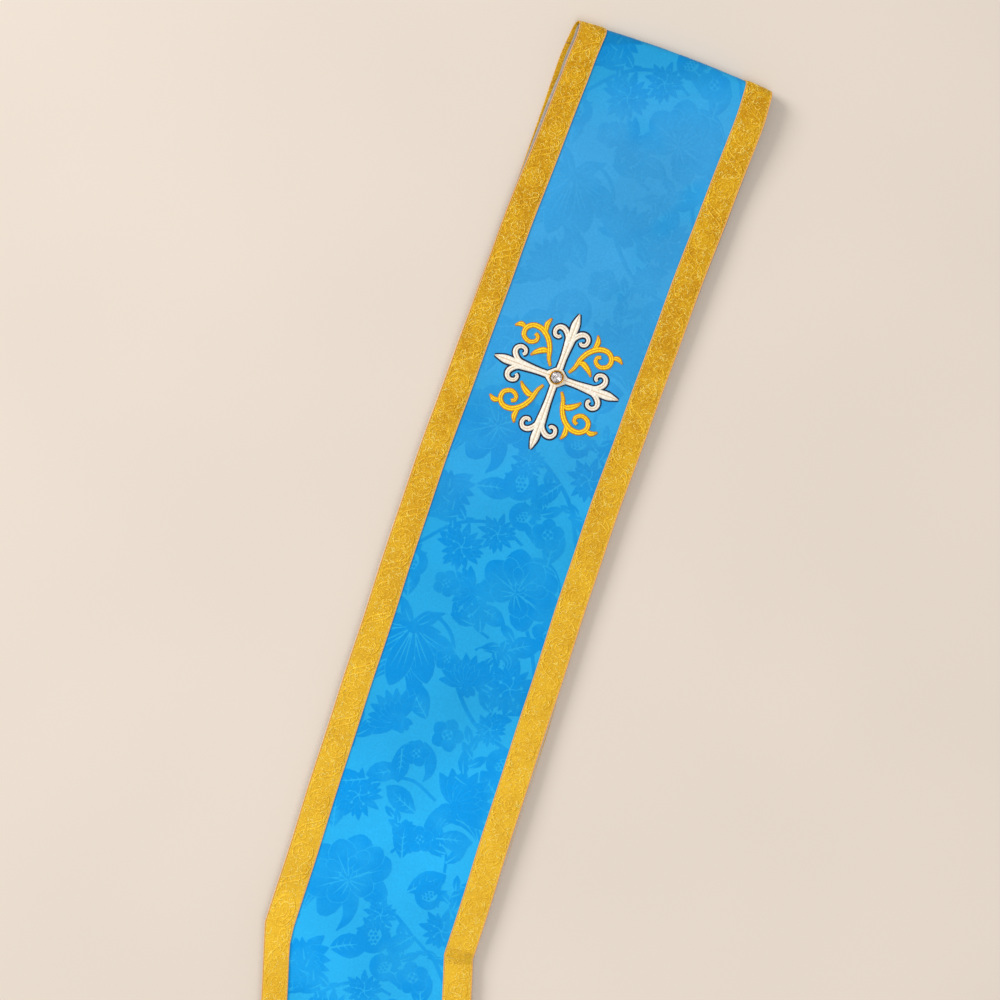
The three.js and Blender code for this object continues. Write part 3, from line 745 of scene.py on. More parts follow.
def fan(size):
    """A half-open tufted bloom: a fan of narrow petals over small round leaves."""
    shapes = []
    for row, (count, spread) in enumerate(((9, 88), (5, 52))):
        reach = size * (1.0 - 0.34 * row)
        for k in range(count):
            off = 2 * k / (count - 1) - 1
            shapes += petal(0, 0, -off * spread, reach * (1 - 0.12 * abs(off)), reach * 0.32, lean=-0.2 * off,
                            rim=0.6, full=0.35)
    for turn in (-150, 150, 180):
        shapes += leaf(0, 0, turn, size * 0.42, size * 0.24, full=0.8, rib=0.5)
    return shapes + [(ring(0, 0, size * 0.14), FIGURE)]


def rosette(size):
    """A small open flower with a speckled heart."""
    shapes = []
    for k in range(5):
        shapes += petal(0, 0, 72 * k, size, size * 0.86, lean=0.14, rim=0.6, full=0.8)
    shapes.append((ring(0, 0, size * 0.36), GROUND))
    for k in range(4):
        shapes.append((turned(ring(0, size * 0.19, size * 0.1), 90 * k), FIGURE))
    return shapes


def pod(size):
    """A round seed pod: a dark rind round a pale speckled heart, with a leafy crown."""
    shapes = []
    for off in (-64, -32, 32, 64, 0):
        shapes += petal(0, size * 0.5, off, size * 0.95, size * 0.34, lean=-0.006 * off, rim=0.5, full=0.3)
    shapes.append((ring(0, 0, size, 2, 0.05), FIGURE))
    shapes.append((turned(leaf_outline(size * 1.4, size * 0.9, 0.1, 0.7), 0, 0, -size * 0.66), GROUND))
    for row in range(-2, 3):
        for column in range(-2, 3):
            dx, dy = (column + 0.5 * (row % 2)) * size * 0.25, row * size * 0.26
            if (dx / 0.4) ** 2 + (dy / 0.6) ** 2 < 0.85 * size ** 2:
                shapes.append((ring(dx, dy, size * 0.085), FIGURE))
    return shapes


def curled_leaf(size, hand=1):
    """A broad leaf that bends over and comes to a point, with pale veins along its bend."""
    body = ((0, 0, 1.0), (0.10, 0.34, 0.18 * size), (0.34, 0.66, 0.34 * size), (0.72, 0.78, 0.42 * size),
            (1.02, 0.52, 0.38 * size), (1.06, 0.14, 0.22 * size), (0.90, -0.14, 0.3))
    lines = [(body, FIGURE)]
    for inner in (-0.1, 0.0, 0.1):
        vein = ((0.02, 0.05, 1.0), (0.26 + inner, 0.5 - inner, 1.2), (0.66, 0.7 - inner, 1.2),
                (0.94 - inner, 0.44, 0.4))
        lines.append((vein, GROUND))
    return [(ribbon(smooth_line([(hand * u * size, v * size, w) for u, v, w in line], 5)), tone)
            for line, tone in lines]


def sprig(size, hand=1):
    """A curved stem with pointed leaves by turns along it and one at its tip."""
    knots = ((0, 0, 1.5), (0.22, 0.3, 1.3), (0.16, 0.66, 1.1), (-0.06, 0.9, 0.8))
    line = smooth_line([(hand * u * size, v * size, w) for u, v, w in knots], 6)
    shapes = [(ribbon(line), FIGURE)]
    for k, at in enumerate((3, 6, 9, 12, 15)):
        (ax, ay), (bx, by) = line[at][:2], line[at + 1][:2]
        way = math.degrees(math.atan2(by - ay, bx - ax)) - 90
        side = 1 if k % 2 else -1
        reach = size * (0.5 - 0.04 * k)
        shapes += leaf(ax, ay, way + side * (60 - 4 * k), reach, reach * 0.46, lean=side * 0.2, full=0.3)
    return shapes + leaf(*line[-1][:2], way, size * 0.36, size * 0.17, full=0.3)


def broad_leaf(size):
    """A broad pointed leaf with pale side veins."""
    shapes = leaf(0, 0, 0, size, size * 0.56, lean=0.16, full=0.45, rib=0.8)
    for k in range(1, 4):
        for side in (-1, 1):
            start = (0.16 * size * (k / 5) ** 2, 0.17 * k * size, 1.1)
            end = (start[0] + side * 0.16 * size, start[1] + 0.13 * size, 0.4)
            shapes.append((ribbon([start, end]), GROUND))
    return shapes


curled_back = functools.partial(curled_leaf, hand=-1)
sprig_back = functools.partial(sprig, hand=-1)

REPEAT = 318.0
STEMS = (
    ((52, -26, 2.2), (36, 4, 2.2), (10, 24, 2.0), (-14, 34, 1.8)),
    ((-54, 74, 1.8), (-36, 100, 2.0), (-8, 112, 1.8), (14, 104, 1.6)),
    ((50, 150, 1.8), (24, 160, 2.2), (2, 184, 2.2), (-10, 212, 2.0), (-28, 222, 1.8), (-38, 212, 1.6)),
    ((54, 196, 1.8), (40, 226, 2.0), (22, 246, 1.8)),
    ((-52, 262, 1.6), (-30, 284, 1.8), (-4, 292, 1.6), (16, 284, 1.4)),
)
# What stands where: motif, x, y, angle and size. Later ones lie over earlier ones.
PLACES = (
    (curled_leaf, -50, 6, 4, 30), (curled_back, 52, 84, 24, 30), (curled_leaf, -20, 112, 12, 24),
    (curled_leaf, 8, 208, -50, 24), (curled_leaf, -54, 164, -8, 28), (curled_back, 50, 262, 20, 24),
    (broad_leaf, 14, 40, -40, 28), (broad_leaf, -46, 66, 18, 24), (broad_leaf, 4, 92, 74, 26),
    (broad_leaf, -14, 118, 128, 24), (broad_leaf, -8, 154, 52, 28), (broad_leaf, 40, 172, -30, 26),
    (broad_leaf, -12, 222, -8, 26), (broad_leaf, -46, 228, 20, 24), (broad_leaf, 0, 236, -96, 22),
    (broad_leaf, 36, 276, 8, 26), (broad_leaf, -26, 312, -70, 26), (broad_leaf, 28, 14, 150, 24),
    (broad_leaf, 54, 118, 60, 22), (broad_leaf, -54, 282, -40, 20),
    (sprig, 34, 60, 50, 34), (sprig_back, -50, 122, -36, 36), (sprig, 26, 160, 12, 34),
    (sprig_back, 14, 218, 30, 36), (sprig, 6, 296, -30, 36), (sprig_back, 50, 34, 4, 26),
    (sprig, -16, 182, 70, 28), (sprig_back, -8, 268, 66, 30), (sprig, -4, 62, 8, 26), (sprig, 54, 296, 30, 26),
    (peony, -28, 40, 30, 28), (fan, 28, 104, -34, 28), (lily, -36, 210, 176, 42), (peony, 24, 256, -24, 26),
    (tuft, 38, 190, 0, 20), (tuft, -22, 270, 0, 17), (tuft, -36, 92, 10, 18), (fan, -26, 148, 60, 22),
    (tuft, 44, 22, 0, 16), (fan, -46, 306, -130, 22), (rosette, 8, 148, 0, 11), (rosette, 52, 232, 20, 12),
    (rosette, -8, 130, 12, 9), (pod, 2, 4, 14, 11), (pod, 48, 140, -40, 10), (pod, -50, 250, 20, 10),
    (rosette, 12, 76, 30, 9), (pod, 10, 302, -50, 9), (fan, 10, 184, 20, 21), (tuft, -2, 286, 0, 14),
    (sprig, 16, 120, -20, 32), (fan, -6, 246, 100, 17), (tuft, 34, 160, 0, 12), (broad_leaf, -34, 104, 120, 26),
    (broad_leaf, 26, 212, -50, 26), (sprig_back, -20, 290, 60, 30), (broad_leaf, 4, 60, 20, 26),
    (pod, 28, 42, -60, 9), (broad_leaf, -18, 130, 200, 22), (sprig, 36, 222, 140, 28),
    (rosette, -24, 244, 0, 9), (broad_leaf, 14, 300, -110, 24), (rosette, 30, 296, 20, 11),
    (tuft, 2, 20, 0, 12), (broad_leaf, -52, 194, 30, 22), (broad_leaf, 22, 80, -70, 24),
    (rosette, -8, 196, 10, 8),
)

FIGURE_EDGE = GALLOON_INNER + 1.6
FIGURE_OFF_SEAM, FIGURE_OFF_HEM = 0.6, 1.2
FIGURE_RAISE = 0.07
SOFT_EDGE = 0.6  # the figure's outline fades over this width
SOFT_EDGE_RAISE = 0.015
FIGURE_GRID = 6.0
FIRST_TILE_AT = -8.0  # s of the end of a repeat next to the fold


def placed_shapes():
    """The outlines that reach into one repeat, with their tones, from the lowest to the topmost."""
    shapes = [(ribbon(smooth_line(knots, 8)), FIGURE) for knots in STEMS]
    for motif, x, y, angle, size in PLACES:
        shapes += moved(motif(size), angle, x, y)
    placed = []
    for lift in (-REPEAT, 0.0, REPEAT):
        for shape, tone in shapes:
            outline = np.array(shape) + (0.0, lift)
            if outline[:, 1].max() > 0 and outline[:, 1].min() < REPEAT:
                placed.append((outline, tone))
    return placed


def is_figure(corners, triangles, placed):
    """Whether the topmost shape over the middle of each triangle is figure."""
    places = corners[np.array(triangles)].mean(axis=1)
    open_ground = (np.abs(places[:, 0]) < FIGURE_EDGE) & (np.abs(places[:, 1] - REPEAT / 2) < REPEAT / 2)
    found = np.zeros(len(places), dtype=bool)
    for outline, tone in reversed(placed):
        low, high = outline.min(axis=0), outline.max(axis=0)
        near = np.nonzero(open_ground & (places > low).all(axis=1) & (places < high).all(axis=1))[0]
        x, y = places[near, 0][:, None], places[near, 1][:, None]
        (ax, ay), (bx, by) = outline.T, np.roll(outline, -1, axis=0).T
        rise = np.where(by == ay, 1.0, by - ay)
        to_the_right = x < ax + (bx - ax) * (y - ay) / rise
        turns = ((ay <= y) & (by > y) & to_the_right).sum(axis=1)
        turns -= ((ay > y) & (by <= y) & to_the_right).sum(axis=1)
        under = near[turns != 0]
        found[under] = tone == FIGURE
        open_ground[under] = False
    return found


def cut_up(points, walls):
    """Triangles over these points that keep to the walls between them."""
    spots, _, triangles, *_ = geometry.delaunay_2d_cdt([Vector(p) for p in points], walls, [], 0, 1e-4, False)
    return np.array([tuple(spot) for spot in spots]), triangles


def figure_repeat():
    """The figure of one repeat in few triangles, on a grid fine enough to follow the cloth."""
    placed = placed_shapes()
    points, walls = [], []
    border = [(-FIGURE_EDGE, 0.0), (FIGURE_EDGE, 0.0), (FIGURE_EDGE, REPEAT), (-FIGURE_EDGE, REPEAT)]
    for outline in (border, *(outline for outline, _ in placed)):
        first, count = len(points), len(outline)
        points += [tuple(p) for p in outline]
        walls += [(first + k, first + (k + 1) % count) for k in range(count)]
    spots, triangles = cut_up(points, walls)
    uses = {}
    for triangle, inside in zip(triangles, is_figure(spots, triangles, placed)):
        for edge in zip(triangle, triangle[1:] + triangle[:1]):
            edge = (min(edge), max(edge))
            uses[edge] = uses.get(edge, 0) + inside
    rim = [edge for edge, count in uses.items() if count == 1]
    used = sorted({corner for edge in rim for corner in edge})
    at = {corner: index for index, corner in enumerate(used)}
    grid = [(x, y) for x in np.linspace(-FIGURE_EDGE, FIGURE_EDGE, 19)
            for y in np.linspace(0.0, REPEAT, round(REPEAT / FIGURE_GRID) + 1)]
    spots, triangles = cut_up([*spots[used], *grid], [(at[a], at[b]) for a, b in rim])
    return spots, [t for t, inside in zip(triangles, is_figure(spots, triangles, placed)) if inside]


def tiled(start, end, repeat):
    """The figure from s = start to s = end, flat, with a cut along each line where the cloth bends."""
    spots, triangles = repeat
    drawn = bmesh.new()
    first, last = ((place - FIRST_TILE_AT) / REPEAT for place in (start, end))
    for tile in range(math.floor(first), math.ceil(last)):
        tile_end = FIRST_TILE_AT + (tile + 1) * REPEAT
        corners = [drawn.verts.new((x, tile_end - y, FIGURE_RAISE)) for x, y in spots]
        for a, b, c in triangles:
            drawn.faces.new((corners[c], corners[b], corners[a]))
    loose = [corner for corner in drawn.verts if not corner.link_faces]
    bmesh.ops.delete(drawn, geom=loose, context="VERTS")
    bmesh.ops.remove_doubles(drawn, verts=drawn.verts, dist=0.01)
    for place, way in ((start, -1), (end, 1)):
        everything = drawn.verts[:] + drawn.edges[:] + drawn.faces[:]
        bmesh.ops.bisect_plane(drawn, geom=everything, plane_co=(0, place, 0), plane_no=(0, way, 0),
                               clear_outer=True)
    for mark in (*FOLD_LINES, MITRE_S, -MITRE_S):
        if start < mark < end:
            near = [face for face in drawn.faces
                    if abs(face.calc_center_median().y - mark) < 2 * FIGURE_GRID + 4]
            parts = dict.fromkeys(part for face in near for part in (face, *face.edges, *face.verts))
            bmesh.ops.bisect_plane(drawn, geom=list(parts), plane_co=(0, mark, 0), plane_no=(0, 1, 0))
    return drawn


def add_figure(half, repeat):
    """The damask's figure on one half of the band, raised a hair off the ground, with a soft edge."""
    drawn = tiled(*span(half, FIGURE_OFF_SEAM, FIGURE_OFF_HEM), repeat)
    away = {}
    rim = [edge for edge in drawn.edges if edge.is_boundary]
    for edge in rim:
        first, second = edge.verts
        along = (second.co - first.co).normalized()
        out = Vector((along.y, -along.x, 0.0))
        if out.dot(first.co - edge.link_faces[0].calc_center_median()) < 0:
            out.negate()
        for corner in edge.verts:
            away[corner] = away.get(corner, Vector()) + out
    fringe = bmesh.ops.extrude_edge_only(drawn, edges=rim)["geom"]
    fringe = {corner for corner in fringe if isinstance(corner, bmesh.types.BMVert)}
    for corner in fringe:
        source = next(edge.other_vert(corner) for edge in corner.link_edges if edge.other_vert(corner) in away)
        corner.co += away[source].normalized() * SOFT_EDGE
        corner.co.z = SOFT_EDGE_RAISE
    drawn.verts.index_update()
    flat = np.array([corner.co[:] for corner in drawn.verts]) + (0.0, 0.0, DAMASK_OUT)
    tone = [0.0 if corner in fringe else 1.0 for corner in drawn.verts]
    faces = [[corner.index for corner in face.verts] for face in drawn.faces]
    drawn.free()
    piece = lay(f"damask_{half}_figure", flat, faces, FIGURE_LOOK)
    piece.data.attributes.new("tone", "FLOAT", "POINT").data.foreach_set("value", tone)
    return piece


# The cloths.
def add_damask(half):
    cloth = add_shell(f"damask_{half}_cloth", span(half, OFF_SEAM, 0.0), (-DAMASK_EDGE, DAMASK_EDGE),
                      (DAMASK_IN, DAMASK_OUT), GROUND_LOOK, 24, trimmed)
    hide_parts(f"damask_{half}")
    return cloth


front_damask = add_damask("front")
back_damask = add_damask("back")
lining = add_shell("lining_cloth", (HEM_TURN - HEM_S, HEM_S - HEM_TURN), (-LINING_EDGE, LINING_EDGE),
                   (LINING_IN, DAMASK_IN - LINING_CLEAR), LINING_LOOK, 20, lining_edge)
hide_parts("lining")
repeat = figure_repeat()
front_figure = add_figure("front", repeat)
back_figure = add_figure("back", repeat)


# The galloon: a ribbon with selvedges, scroll medallions, an S-shaped vine between them and raised threads,
# whose pale colour is a painted glint.
GALLOON_GROUND = GALLOON_OUT - 0.3
MEDALLION_PITCH = 36.0
MEDALLION_RADIUS = 6.7
RELIEF_HIGH = 0.18
SELVEDGE, SELVEDGE_HIGH, SELVEDGE_ENDS = 0.8, 0.3, 0.6
RELIEF_ENDS = 1.0  # the relief keeps this far off the ribbon's ends
BRIGHT_THREADS = 34  # loose ones to each medallion
BRIGHT_SHARE = 0.24  # of the relief's lines
BRIGHT_WIDE = 0.5
BRIGHT_HIGH = 0.25


def arc(cx, cy, radius, start, end, width, high=RELIEF_HIGH, end_radius=None, steps=10, taper=0.35):
    """A curve of (x, y, width, height) round a centre. With end_radius it is a scroll."""
    line = []
    for i in range(steps + 1):
        t = i / steps
        a = math.radians(lerp(start, end, t))
        r = lerp(radius, radius if end_radius is None else end_radius, t)
        thin = 1 - (1 - taper) * (2 * t - 1) ** 4
        line.append((cx + r * math.cos(a), cy + r * math.sin(a), width * thin, high))
    return line


def blade(x, y, angle, length, width, high=RELIEF_HIGH):
    """A small leaf."""
    c, s = math.cos(math.radians(angle)), math.sin(math.radians(angle))
    shape = ((0.0, 0.25), (0.3, 0.8), (0.6, 1.0), (0.85, 0.6), (1.0, 0.15))
    return [(x + c * length * t, y + s * length * t, width * w, high) for t, w in shape]


def medallion():
    """A ring round a rose of one long scroll, with small leaves between, as lines of (closed, points)."""
    lines = [(True, arc(0, 0, MEDALLION_RADIUS, 0, 345, 1.1, steps=23, taper=1.0)),
             (False, arc(0, 0, 4.9, 40, 40 + 720, 0.95, end_radius=0.7, steps=30, taper=0.6))]
    for k in range(7):
        way = 360 * k / 7
        x, y = 5.1 * math.cos(math.radians(way)), 5.1 * math.sin(math.radians(way))
        lines.append((False, blade(x, y, way + 62, 2.6, 1.0)))
    return lines


def vine():
    """Two scrolls that swing round each other between two medallions, with leaves, as (closed, points)."""
    swing = ((-7.4, -13.5, 0.6), (-7.8, -9.0, 1.1), (-5.0, -5.0, 1.3), (0.4, -2.0, 1.3), (5.2, 1.2, 1.3),
             (7.4, 5.8, 1.2), (5.4, 10.0, 1.1), (1.6, 9.6, 1.0), (1.4, 6.2, 0.9), (4.0, 5.8, 0.6))
    leaves = ((-7.4, -7.4, 60, 3.4, 1.3), (-2.8, -3.6, 100, 3.8, 1.4), (-6.0, -6.0, -60, 3.4, 1.3),
              (2.6, -0.6, -50, 3.6, 1.4), (6.6, 3.6, 20, 2.6, 1.2), (7.2, 8.6, 70, 3.0, 1.2),
              (2.0, 1.8, 120, 3.0, 1.2), (-1.2, 6.6, 150, 2.8, 1.2), (3.0, 12.6, 150, 2.8, 1.1))
    lines = []
    for sign in (-1, 1):
        knots = [(sign * x, sign * y, w) for x, y, w in swing]
        lines.append((False, [(x, y, w, RELIEF_HIGH) for x, y, w in smooth_line(knots, 4)]))
        for x, y, way, length, width in leaves:
            lines.append((False, blade(sign * x, sign * y, way + (180 if sign < 0 else 0), length, width)))
    return lines


def on_ribbon(line, start, end):
    return all(start + RELIEF_ENDS < s < end - RELIEF_ENDS for _, s, *_ in line)


def brighten(bright, line, rng):
    """Raised thread over some dashes of a line of the relief, pale with a painted glint."""
    for first in range(0, len(line) - 3, 4):
        if rng.random() < BRIGHT_SHARE:
            dash = [(x, y, BRIGHT_WIDE, BRIGHT_HIGH) for x, y, *_ in line[first:first + 4]]
            bright.add(dash, GALLOON_GROUND)


def scatter(bright, middle, at, start, end, rng):
    """Loose raised threads round the medallion at s = at, pale with a painted glint."""
    for _ in range(BRIGHT_THREADS):
        x, y = rng.uniform(-8.0, 8.0), at + rng.uniform(-18, 18)
        bend = rng.choice((-1, 1)) * rng.uniform(60, 170)
        begin = rng.uniform(0, 360)
        radius = rng.uniform(1.0, 2.4)
        line = arc(middle + x, y, radius, begin, begin + bend, BRIGHT_WIDE, BRIGHT_HIGH, steps=4)
        if on_ribbon(line, start, end) and all(abs(p[0] - middle) < 8.6 for p in line):
            bright.add(line, GALLOON_GROUND)


def add_galloon(half, rng):
    """Both strips of one half of the band, with their relief. Gives the ribbons and the pieces on them.

    The back half has medallions only.
    """
    ribbons, relief, bright, edges = [], Strokes(), Strokes(THREAD), Strokes()
    start, end = span(half, OFF_SEAM, HEM_TURN)
    count = round((end - start) / MEDALLION_PITCH)
    front = half == "front"
    turn = 1 if front else -1
    motifs = ((0.0, medallion()), (MEDALLION_PITCH / 2, vine() if front else []))
    for side, sign in SIDES:
        left, right = sorted((sign * GALLOON_INNER, sign * GALLOON_OUTER))
        ribbons.append(add_shell(f"galloon_{half}_{side}_ribbon", (start, end), (left, right),
                                 (DAMASK_OUT + RIBBON_CLEAR, GALLOON_GROUND), GALLOON_LOOK, 4))
        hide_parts(f"galloon_{half}_shoulder_{side}", f"galloon_{half}_fall_{side}")
        places = stations(start + SELVEDGE_ENDS, end - SELVEDGE_ENDS, CLOTH_STEP)
        for edge in (left + SELVEDGE / 2, right - SELVEDGE / 2):
            edges.add([(edge, place, SELVEDGE, SELVEDGE_HIGH) for place in places], GALLOON_GROUND)
        middle = sign * GALLOON_MIDDLE
        for k in range(count):
            at = start + (end - start) * (k + 0.5) / count
            for offset, motif in motifs:
                for closed, line in motif:
                    drawn = [(middle + sign * x, at + offset + turn * y, w, h) for x, y, w, h in line]
                    if on_ribbon(drawn, start, end):
                        relief.add(drawn, GALLOON_GROUND, closed)
                        if front:
                            brighten(bright, drawn, rng)
            if front:
                scatter(bright, middle, at, start, end, rng)
    trim = [relief.laid(f"galloon_{half}_relief", RELIEF_LOOK),
            edges.laid(f"galloon_{half}_selvedges", SELVEDGE_LOOK)]
    if front:
        trim.append(bright.laid(f"galloon_{half}_bright_threads", SPARKLE_LOOK))
    return ribbons, trim


galloon_random = random.Random(5)
front_ribbons, front_trim = add_galloon("front", galloon_random)
back_ribbons, back_trim = add_galloon("back", galloon_random)


# The emblem. Strokes are lines of (u, v, width): u across and v towards the fold from the emblem's middle.
EMBROIDERY_HIGH = GALLOON_OUT - DAMASK_OUT
THREAD_PITCH = 0.6
THREAD_GROOVE = 0.06
OUTLINE_WIDER = 2.4
OUTLINE_HIGH = 0.5
EDGE_WIDER = 1.2  # of the scrolls' shading
CROSS_BOSS = 7.4
CROSS_ARMS = ((0, 30), (90, 29), (180, 36), (270, 29))  # turn in degrees, reach
ARM_WAIST = 4.6
ARM_FLARE = 7.6
PETAL = ((0, -3, 2.5), (0, 2, 5.2), (0, 7.5, 5.6), (0, 12, 3.0), (0, 15, 0.5))
VOLUTE = (
    (0.8, -6, 3.0), (2.6, -1.0, 3.4), (6.0, 2.4, 3.6), (9.6, 2.6, 3.2),
    (11.6, 0, 2.8), (10.8, -3.2, 2.6), (8.2, -4.0, 2.4), (6.9, -2.6, 2.0),
)
SCROLL_STROKES = (
    (
        (6.5, 5.7, 1.2), (9.2, 10.5, 2.2), (11.0, 17.0, 2.8), (14.6, 23.0, 3.2), (20.2, 27.2, 3.4),
        (26.4, 27.6, 3.2), (30.4, 24.0, 3.0), (30.0, 18.9, 2.8), (25.4, 16.4, 2.6), (21.4, 18.2, 2.4),
        (21.0, 21.4, 2.2), (23.4, 22.8, 2.0),
    ),
    ((10.0, 14.0, 1.2), (13.9, 14.4, 3.6), (18.4, 11.6, 2.8), (21.4, 8.2, 0.5)),
    ((16.6, 25.4, 1.0), (18.0, 31.0, 3.2), (16.4, 36.0, 0.5)),
    ((30.0, 24.2, 1.0), (34.2, 25.6, 3.2), (38.2, 23.4, 0.5)),
)
LOWER_SCROLL_DROP = 2


def on_emblem(knots, turn=0.0, across_sign=1, up_sign=1):
    """Knots turned clockwise by degrees and mirrored, as (across, s, width)."""
    c, s = math.cos(math.radians(turn)), math.sin(math.radians(turn))
    placed = ((u * c + v * s, -u * s + v * c, width) for u, v, width in knots)
    return [(across_sign * u, EMBLEM_S - up_sign * v, width) for u, v, width in placed]


def satin(strokes, knots, wider=0.0, high=EMBROIDERY_HIGH, base=DAMASK_OUT, groove=THREAD_GROOVE):
    """A stroke filled with threads laid across it, each a low ridge."""
    line = resampled(smooth_line(knots, 12), THREAD_PITCH / 2)
    line[:, 2] += wider
    dome = high * np.clip(0.45 + line[:, 2] / 7.0, 0.45, 1.0)
    ridges = 1 - groove * (np.arange(len(line)) % 2)
    strokes.add(np.column_stack([line, dome * ridges]), base)


def cross_strokes():
    placed = [on_emblem([(-CROSS_BOSS + 0.4, 0, 5.0), (0, 0, 2 * CROSS_BOSS), (CROSS_BOSS - 0.4, 0, 5.0)])]
    mirrored = [(-u, v, width) for u, v, width in VOLUTE]
    for turn, reach in CROSS_ARMS:
        arm = ((0, CROSS_BOSS / 2, ARM_WAIST), (0, reach / 2, ARM_WAIST), (0, reach, ARM_FLARE))
        ends = [[(u, v + reach, width) for u, v, width in knots] for knots in (VOLUTE, mirrored, PETAL)]
        placed += [on_emblem(knots, turn) for knots in (arm, *ends)]
    return placed


def add_emblem():
    """The cross with its outline, and the four scrolls with their shading."""
    cross, outline = Strokes(SATIN), Strokes()
    for knots in cross_strokes():
        satin(outline, knots, wider=OUTLINE_WIDER, high=OUTLINE_HIGH, groove=0.3)
        satin(cross, knots)
    pieces = [cross.laid("emblem_cross_satin", WHITE_LOOK), outline.laid("emblem_outline", NAVY_LOOK)]
    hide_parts("emblem_cross")
    for up_name, up_sign, drop in (("upper", 1, 0), ("lower", -1, LOWER_SCROLL_DROP)):
        for side, sign in SIDES:
            gold, shading = Strokes(SATIN), Strokes()
            for knots in SCROLL_STROKES:
                dropped = [(u, v + drop, width) for u, v, width in knots]
                placed = on_emblem(dropped, across_sign=sign, up_sign=up_sign)
                satin(gold, placed)
                satin(shading, placed, wider=EDGE_WIDER, high=OUTLINE_HIGH)
            scroll = f"emblem_scroll_{up_name}_{side}"
            pieces.append(gold.laid(f"{scroll}_satin", YELLOW_LOOK))
            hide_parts(scroll)
            pieces.append(shading.laid(f"{scroll}_edge", ORANGE_LOOK))
    return pieces


emblem = add_emblem()


# The crystal and its gilt setting, turned about the emblem's middle.
SETTING_BASE = GALLOON_IN + 1.0
SETTING_RADIUS = 4.9
SETTING_HIGH = 2.2
SETTING_WALL = 0.7
PRONGS, PRONG_WIDE = 12, 0.75
CRYSTAL_BASE = SETTING_BASE + 1.0
# Rings of the crystal's corners: how many, radius, height, and share of a step that they are turned by.
CRYSTAL_RINGS = ((8, 2.1, 2.6, 0.0), (8, 3.0, 2.0, 0.5), (16, 3.7, 1.2, 0.0), (16, 3.7, 0.9, 0.0))
FOIL_RINGS = ((8, 3.6, 0.95, 0.25), (8, 2.3, 0.35, 0.75), (8, 0.8, -0.2, 0.25))


def lathe(rings, steps):
    """Flat points and faces of a turned form. rings holds (radius, height)."""
    flat = ring_corners([(steps, radius, height, 0.0) for radius, height in rings])
    faces = []
    for i in range(len(rings) - 1):
        for k in range(steps):
            n = (k + 1) % steps
            faces.append((i * steps + k, i * steps + n, (i + 1) * steps + n, (i + 1) * steps + k))
    faces.append(tuple(range(steps))[::-1])
    faces.append(tuple(range((len(rings) - 1) * steps, len(rings) * steps)))
    return flat, faces


def ring_corners(rings):
    flat = []
    for count, radius, height, turn in rings:
        for k in range(count):
            a = 2 * math.pi * (k + turn) / count
            flat.append((radius * math.cos(a), EMBLEM_S + radius * math.sin(a), height))
    return flat


def hull(corners):
    """The faceted solid that these corners span."""
    made = bmesh.new()
    for corner in corners:
        made.verts.new(corner)
    bmesh.ops.convex_hull(made, input=made.verts)
    bmesh.ops.dissolve_limit(made, angle_limit=0.01, verts=made.verts, edges=made.edges)
    made.verts.index_update()
    faces = [[corner.index for corner in face.verts] for face in made.faces]
    points = [tuple(corner.co) for corner in made.verts]
    made.free()
    return points, faces


def shiny_look(name, slot, colour, darkest=0.92, **settings):
    # Patches darker down to darkest. On the foil, with its low darkest, they are painted dark reflections in
    # its facets.
    look = Look(name, slot, **settings)
    look.set("Base Color", look.shade(colour, look.fit(look.noise(2.8, 1.0), 0.38, 0.46), darkest, 1.04))
    look.bump(look.noise(1.2, 1.0), 0.02, 0.4)
    return look


GILT_LOOK = shiny_look("gilt", "gilt", srgb(232, 176, 70), Metallic=1.0, Roughness=0.22)
CRYSTAL_LOOK = shiny_look("crystal_glass", "crystal", srgb(255, 252, 255), Metallic=0.0, Roughness=0.01,
                          IOR=1.6, Transmission_Weight=0.9)
# Painted reflection: the foil is painted dark in patches, as its facets would mirror dark surroundings.
FOIL_LOOK = shiny_look("crystal_foil", "crystal", srgb(255, 250, 254), 0.1, Metallic=0.5, Roughness=0.12)


def add_setting():
    """A cup with a rolled rim and a ring of small prongs bent over the stone."""
    outer, inner, high = SETTING_RADIUS, SETTING_RADIUS - SETTING_WALL, SETTING_HIGH
    profile = ((outer - 0.1, 0.0), (outer, 0.3), (outer, high - 0.7), (outer - 0.2, high - 0.2),
               (outer - 0.45, high), (inner + 0.1, high - 0.15), (inner - 0.3, high - 0.5),
               (inner - 0.4, 0.7), (0.3, 0.6))
    flat, faces = lathe([(r, SETTING_BASE + h) for r, h in profile], 36)
    strokes = Strokes(SATIN)
    strokes.points.append(np.array(flat))
    strokes.weave.append(np.array(flat)[:, :2])
    strokes.faces += [list(face) for face in faces]
    strokes.count = len(flat)
    prong = ((outer - 0.1, 1.5), (outer - 0.3, high + 0.1), (inner + 0.05, high + 0.2),
             (inner - 0.45, high - 0.1))
    for k in range(PRONGS):
        a = 2 * math.pi * k / PRONGS
        line = [(r * math.cos(a), EMBLEM_S + r * math.sin(a), PRONG_WIDE, rise) for r, rise in prong]
        strokes.add(line, SETTING_BASE)
    return strokes.laid("crystal_setting_gilt", GILT_LOOK)


setting = add_setting()
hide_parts("crystal_setting")
flat, faces = hull(ring_corners([(n, r, CRYSTAL_BASE + h, turn) for n, r, h, turn in CRYSTAL_RINGS]))
crystal = lay("crystal_stone", flat, faces, CRYSTAL_LOOK, smooth=False)
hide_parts("crystal")
flat, faces = hull(ring_corners([(n, r, CRYSTAL_BASE - 0.1 + h, turn) for n, r, h, turn in FOIL_RINGS]))
open_above = CRYSTAL_BASE + 0.5  # the foil is a bowl, without the face across its top
foil_faces = [face for face in faces if len(face) < 8 or np.mean([flat[c][2] for c in face]) < open_above]
foil = lay("crystal_foil_back", flat, foil_faces, FOIL_LOOK, smooth=False)


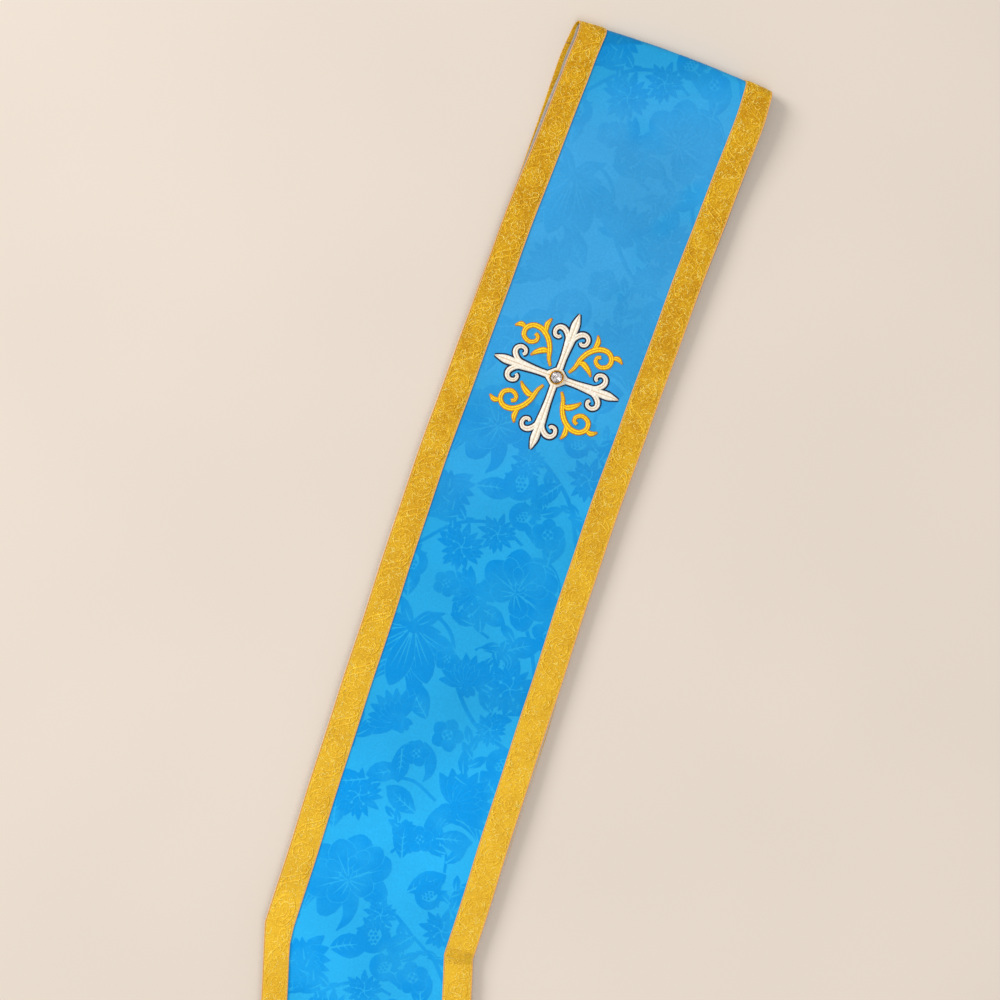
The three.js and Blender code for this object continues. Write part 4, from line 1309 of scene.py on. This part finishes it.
# Sewing: a row of small stitches along both edges of the galloon.
STITCH_INSET = 1.35
STITCH_PITCH = 3.0
STITCH_LONG = 2.1
STITCH_WIDE = 0.38
STITCH_HIGH = 0.2


def add_stitches(half):
    rows = Strokes(THREAD)
    start, end = span(half, OFF_SEAM, HEM_TURN)
    for sign in (-1, 1):
        for edge in (GALLOON_INNER + STITCH_INSET, GALLOON_OUTER - STITCH_INSET):
            for k in range(int((end - start - 4) / STITCH_PITCH)):
                at = start + 2 + k * STITCH_PITCH
                line = [(sign * edge, at + STITCH_LONG * t, STITCH_WIDE, STITCH_HIGH * high)
                        for t, high in ((0.0, 0.1), (0.3, 1.0), (0.7, 1.0), (1.0, 0.1))]
                rows.add(line, GALLOON_GROUND)
    # Their pale colour is a painted glint.
    return rows.laid(f"stitches_{half}", SPARKLE_LOOK)


front_trim.append(add_stitches("front"))
back_trim.append(add_stitches("back"))


# The studio: a pale floor, a soft light from the upper left, and a camera straight above.
PHOTO_SIZE = 1000
PHOTO_SCALE = 1.5  # pixels to a mm on the stole
FOLD_PIXEL = (675, 55)  # the middle of the shoulder fold in the photograph
LENS = 100.0
SENSOR = 36.0

bpy.ops.mesh.primitive_plane_add(size=8.0)
floor = bpy.context.object
floor.name = "floor"
floor_look = Look("floor_paper", None, Roughness=0.9, Specular_IOR_Level=0.2)
floor_look.set("Base Color", floor_look.shade(srgb(221, 212, 202), floor_look.noise(180, 1.0), 0.985, 1.015))
floor.data.materials.append(floor_look.material)

fold_x, fold_y = on_plan(0.0, 0.0)
middle_x = fold_x - (FOLD_PIXEL[0] - PHOTO_SIZE / 2) / PHOTO_SCALE
middle_y = fold_y + (FOLD_PIXEL[1] - PHOTO_SIZE / 2) / PHOTO_SCALE
view_width = PHOTO_SIZE / PHOTO_SCALE
camera_data = bpy.data.cameras.new("camera")
camera_data.lens = LENS
camera_data.sensor_width = SENSOR
camera = bpy.data.objects.new("camera", camera_data)
camera_high = view_width * LENS / SENSOR + 2 * FOLD_MIDDLE - FOLD_SETTLES_BY
camera.location = (middle_x * MM, middle_y * MM, camera_high * MM)
bpy.context.collection.objects.link(camera)
bpy.context.scene.camera = camera


def add_light(name, place, aim, size, power, colour):
    data = bpy.data.lights.new(name, "AREA")
    data.size = size
    data.energy = power
    data.color = colour
    light = bpy.data.objects.new(name, data)
    light.location = place
    light.rotation_euler = (Vector(aim) - Vector(place)).to_track_quat("-Z", "Y").to_euler()
    bpy.context.collection.objects.link(light)


aim = (middle_x * MM, middle_y * MM, 0.0)
add_light("key", (-2.3, 1.9, 1.9), aim, 1.6, 77.0, (1.0, 0.98, 0.95))
add_light("top", (0.4, -0.7, 2.6), aim, 1.8, 24.0, (1.0, 0.99, 0.98))

world = bpy.data.worlds.new("studio")
bpy.context.scene.world = world
world.use_nodes = True
background = world.node_tree.nodes["Background"].inputs
background["Color"].default_value = srgb(238, 232, 226)
background["Strength"].default_value = 0.6
bpy.context.scene.view_settings.view_transform = "Standard"
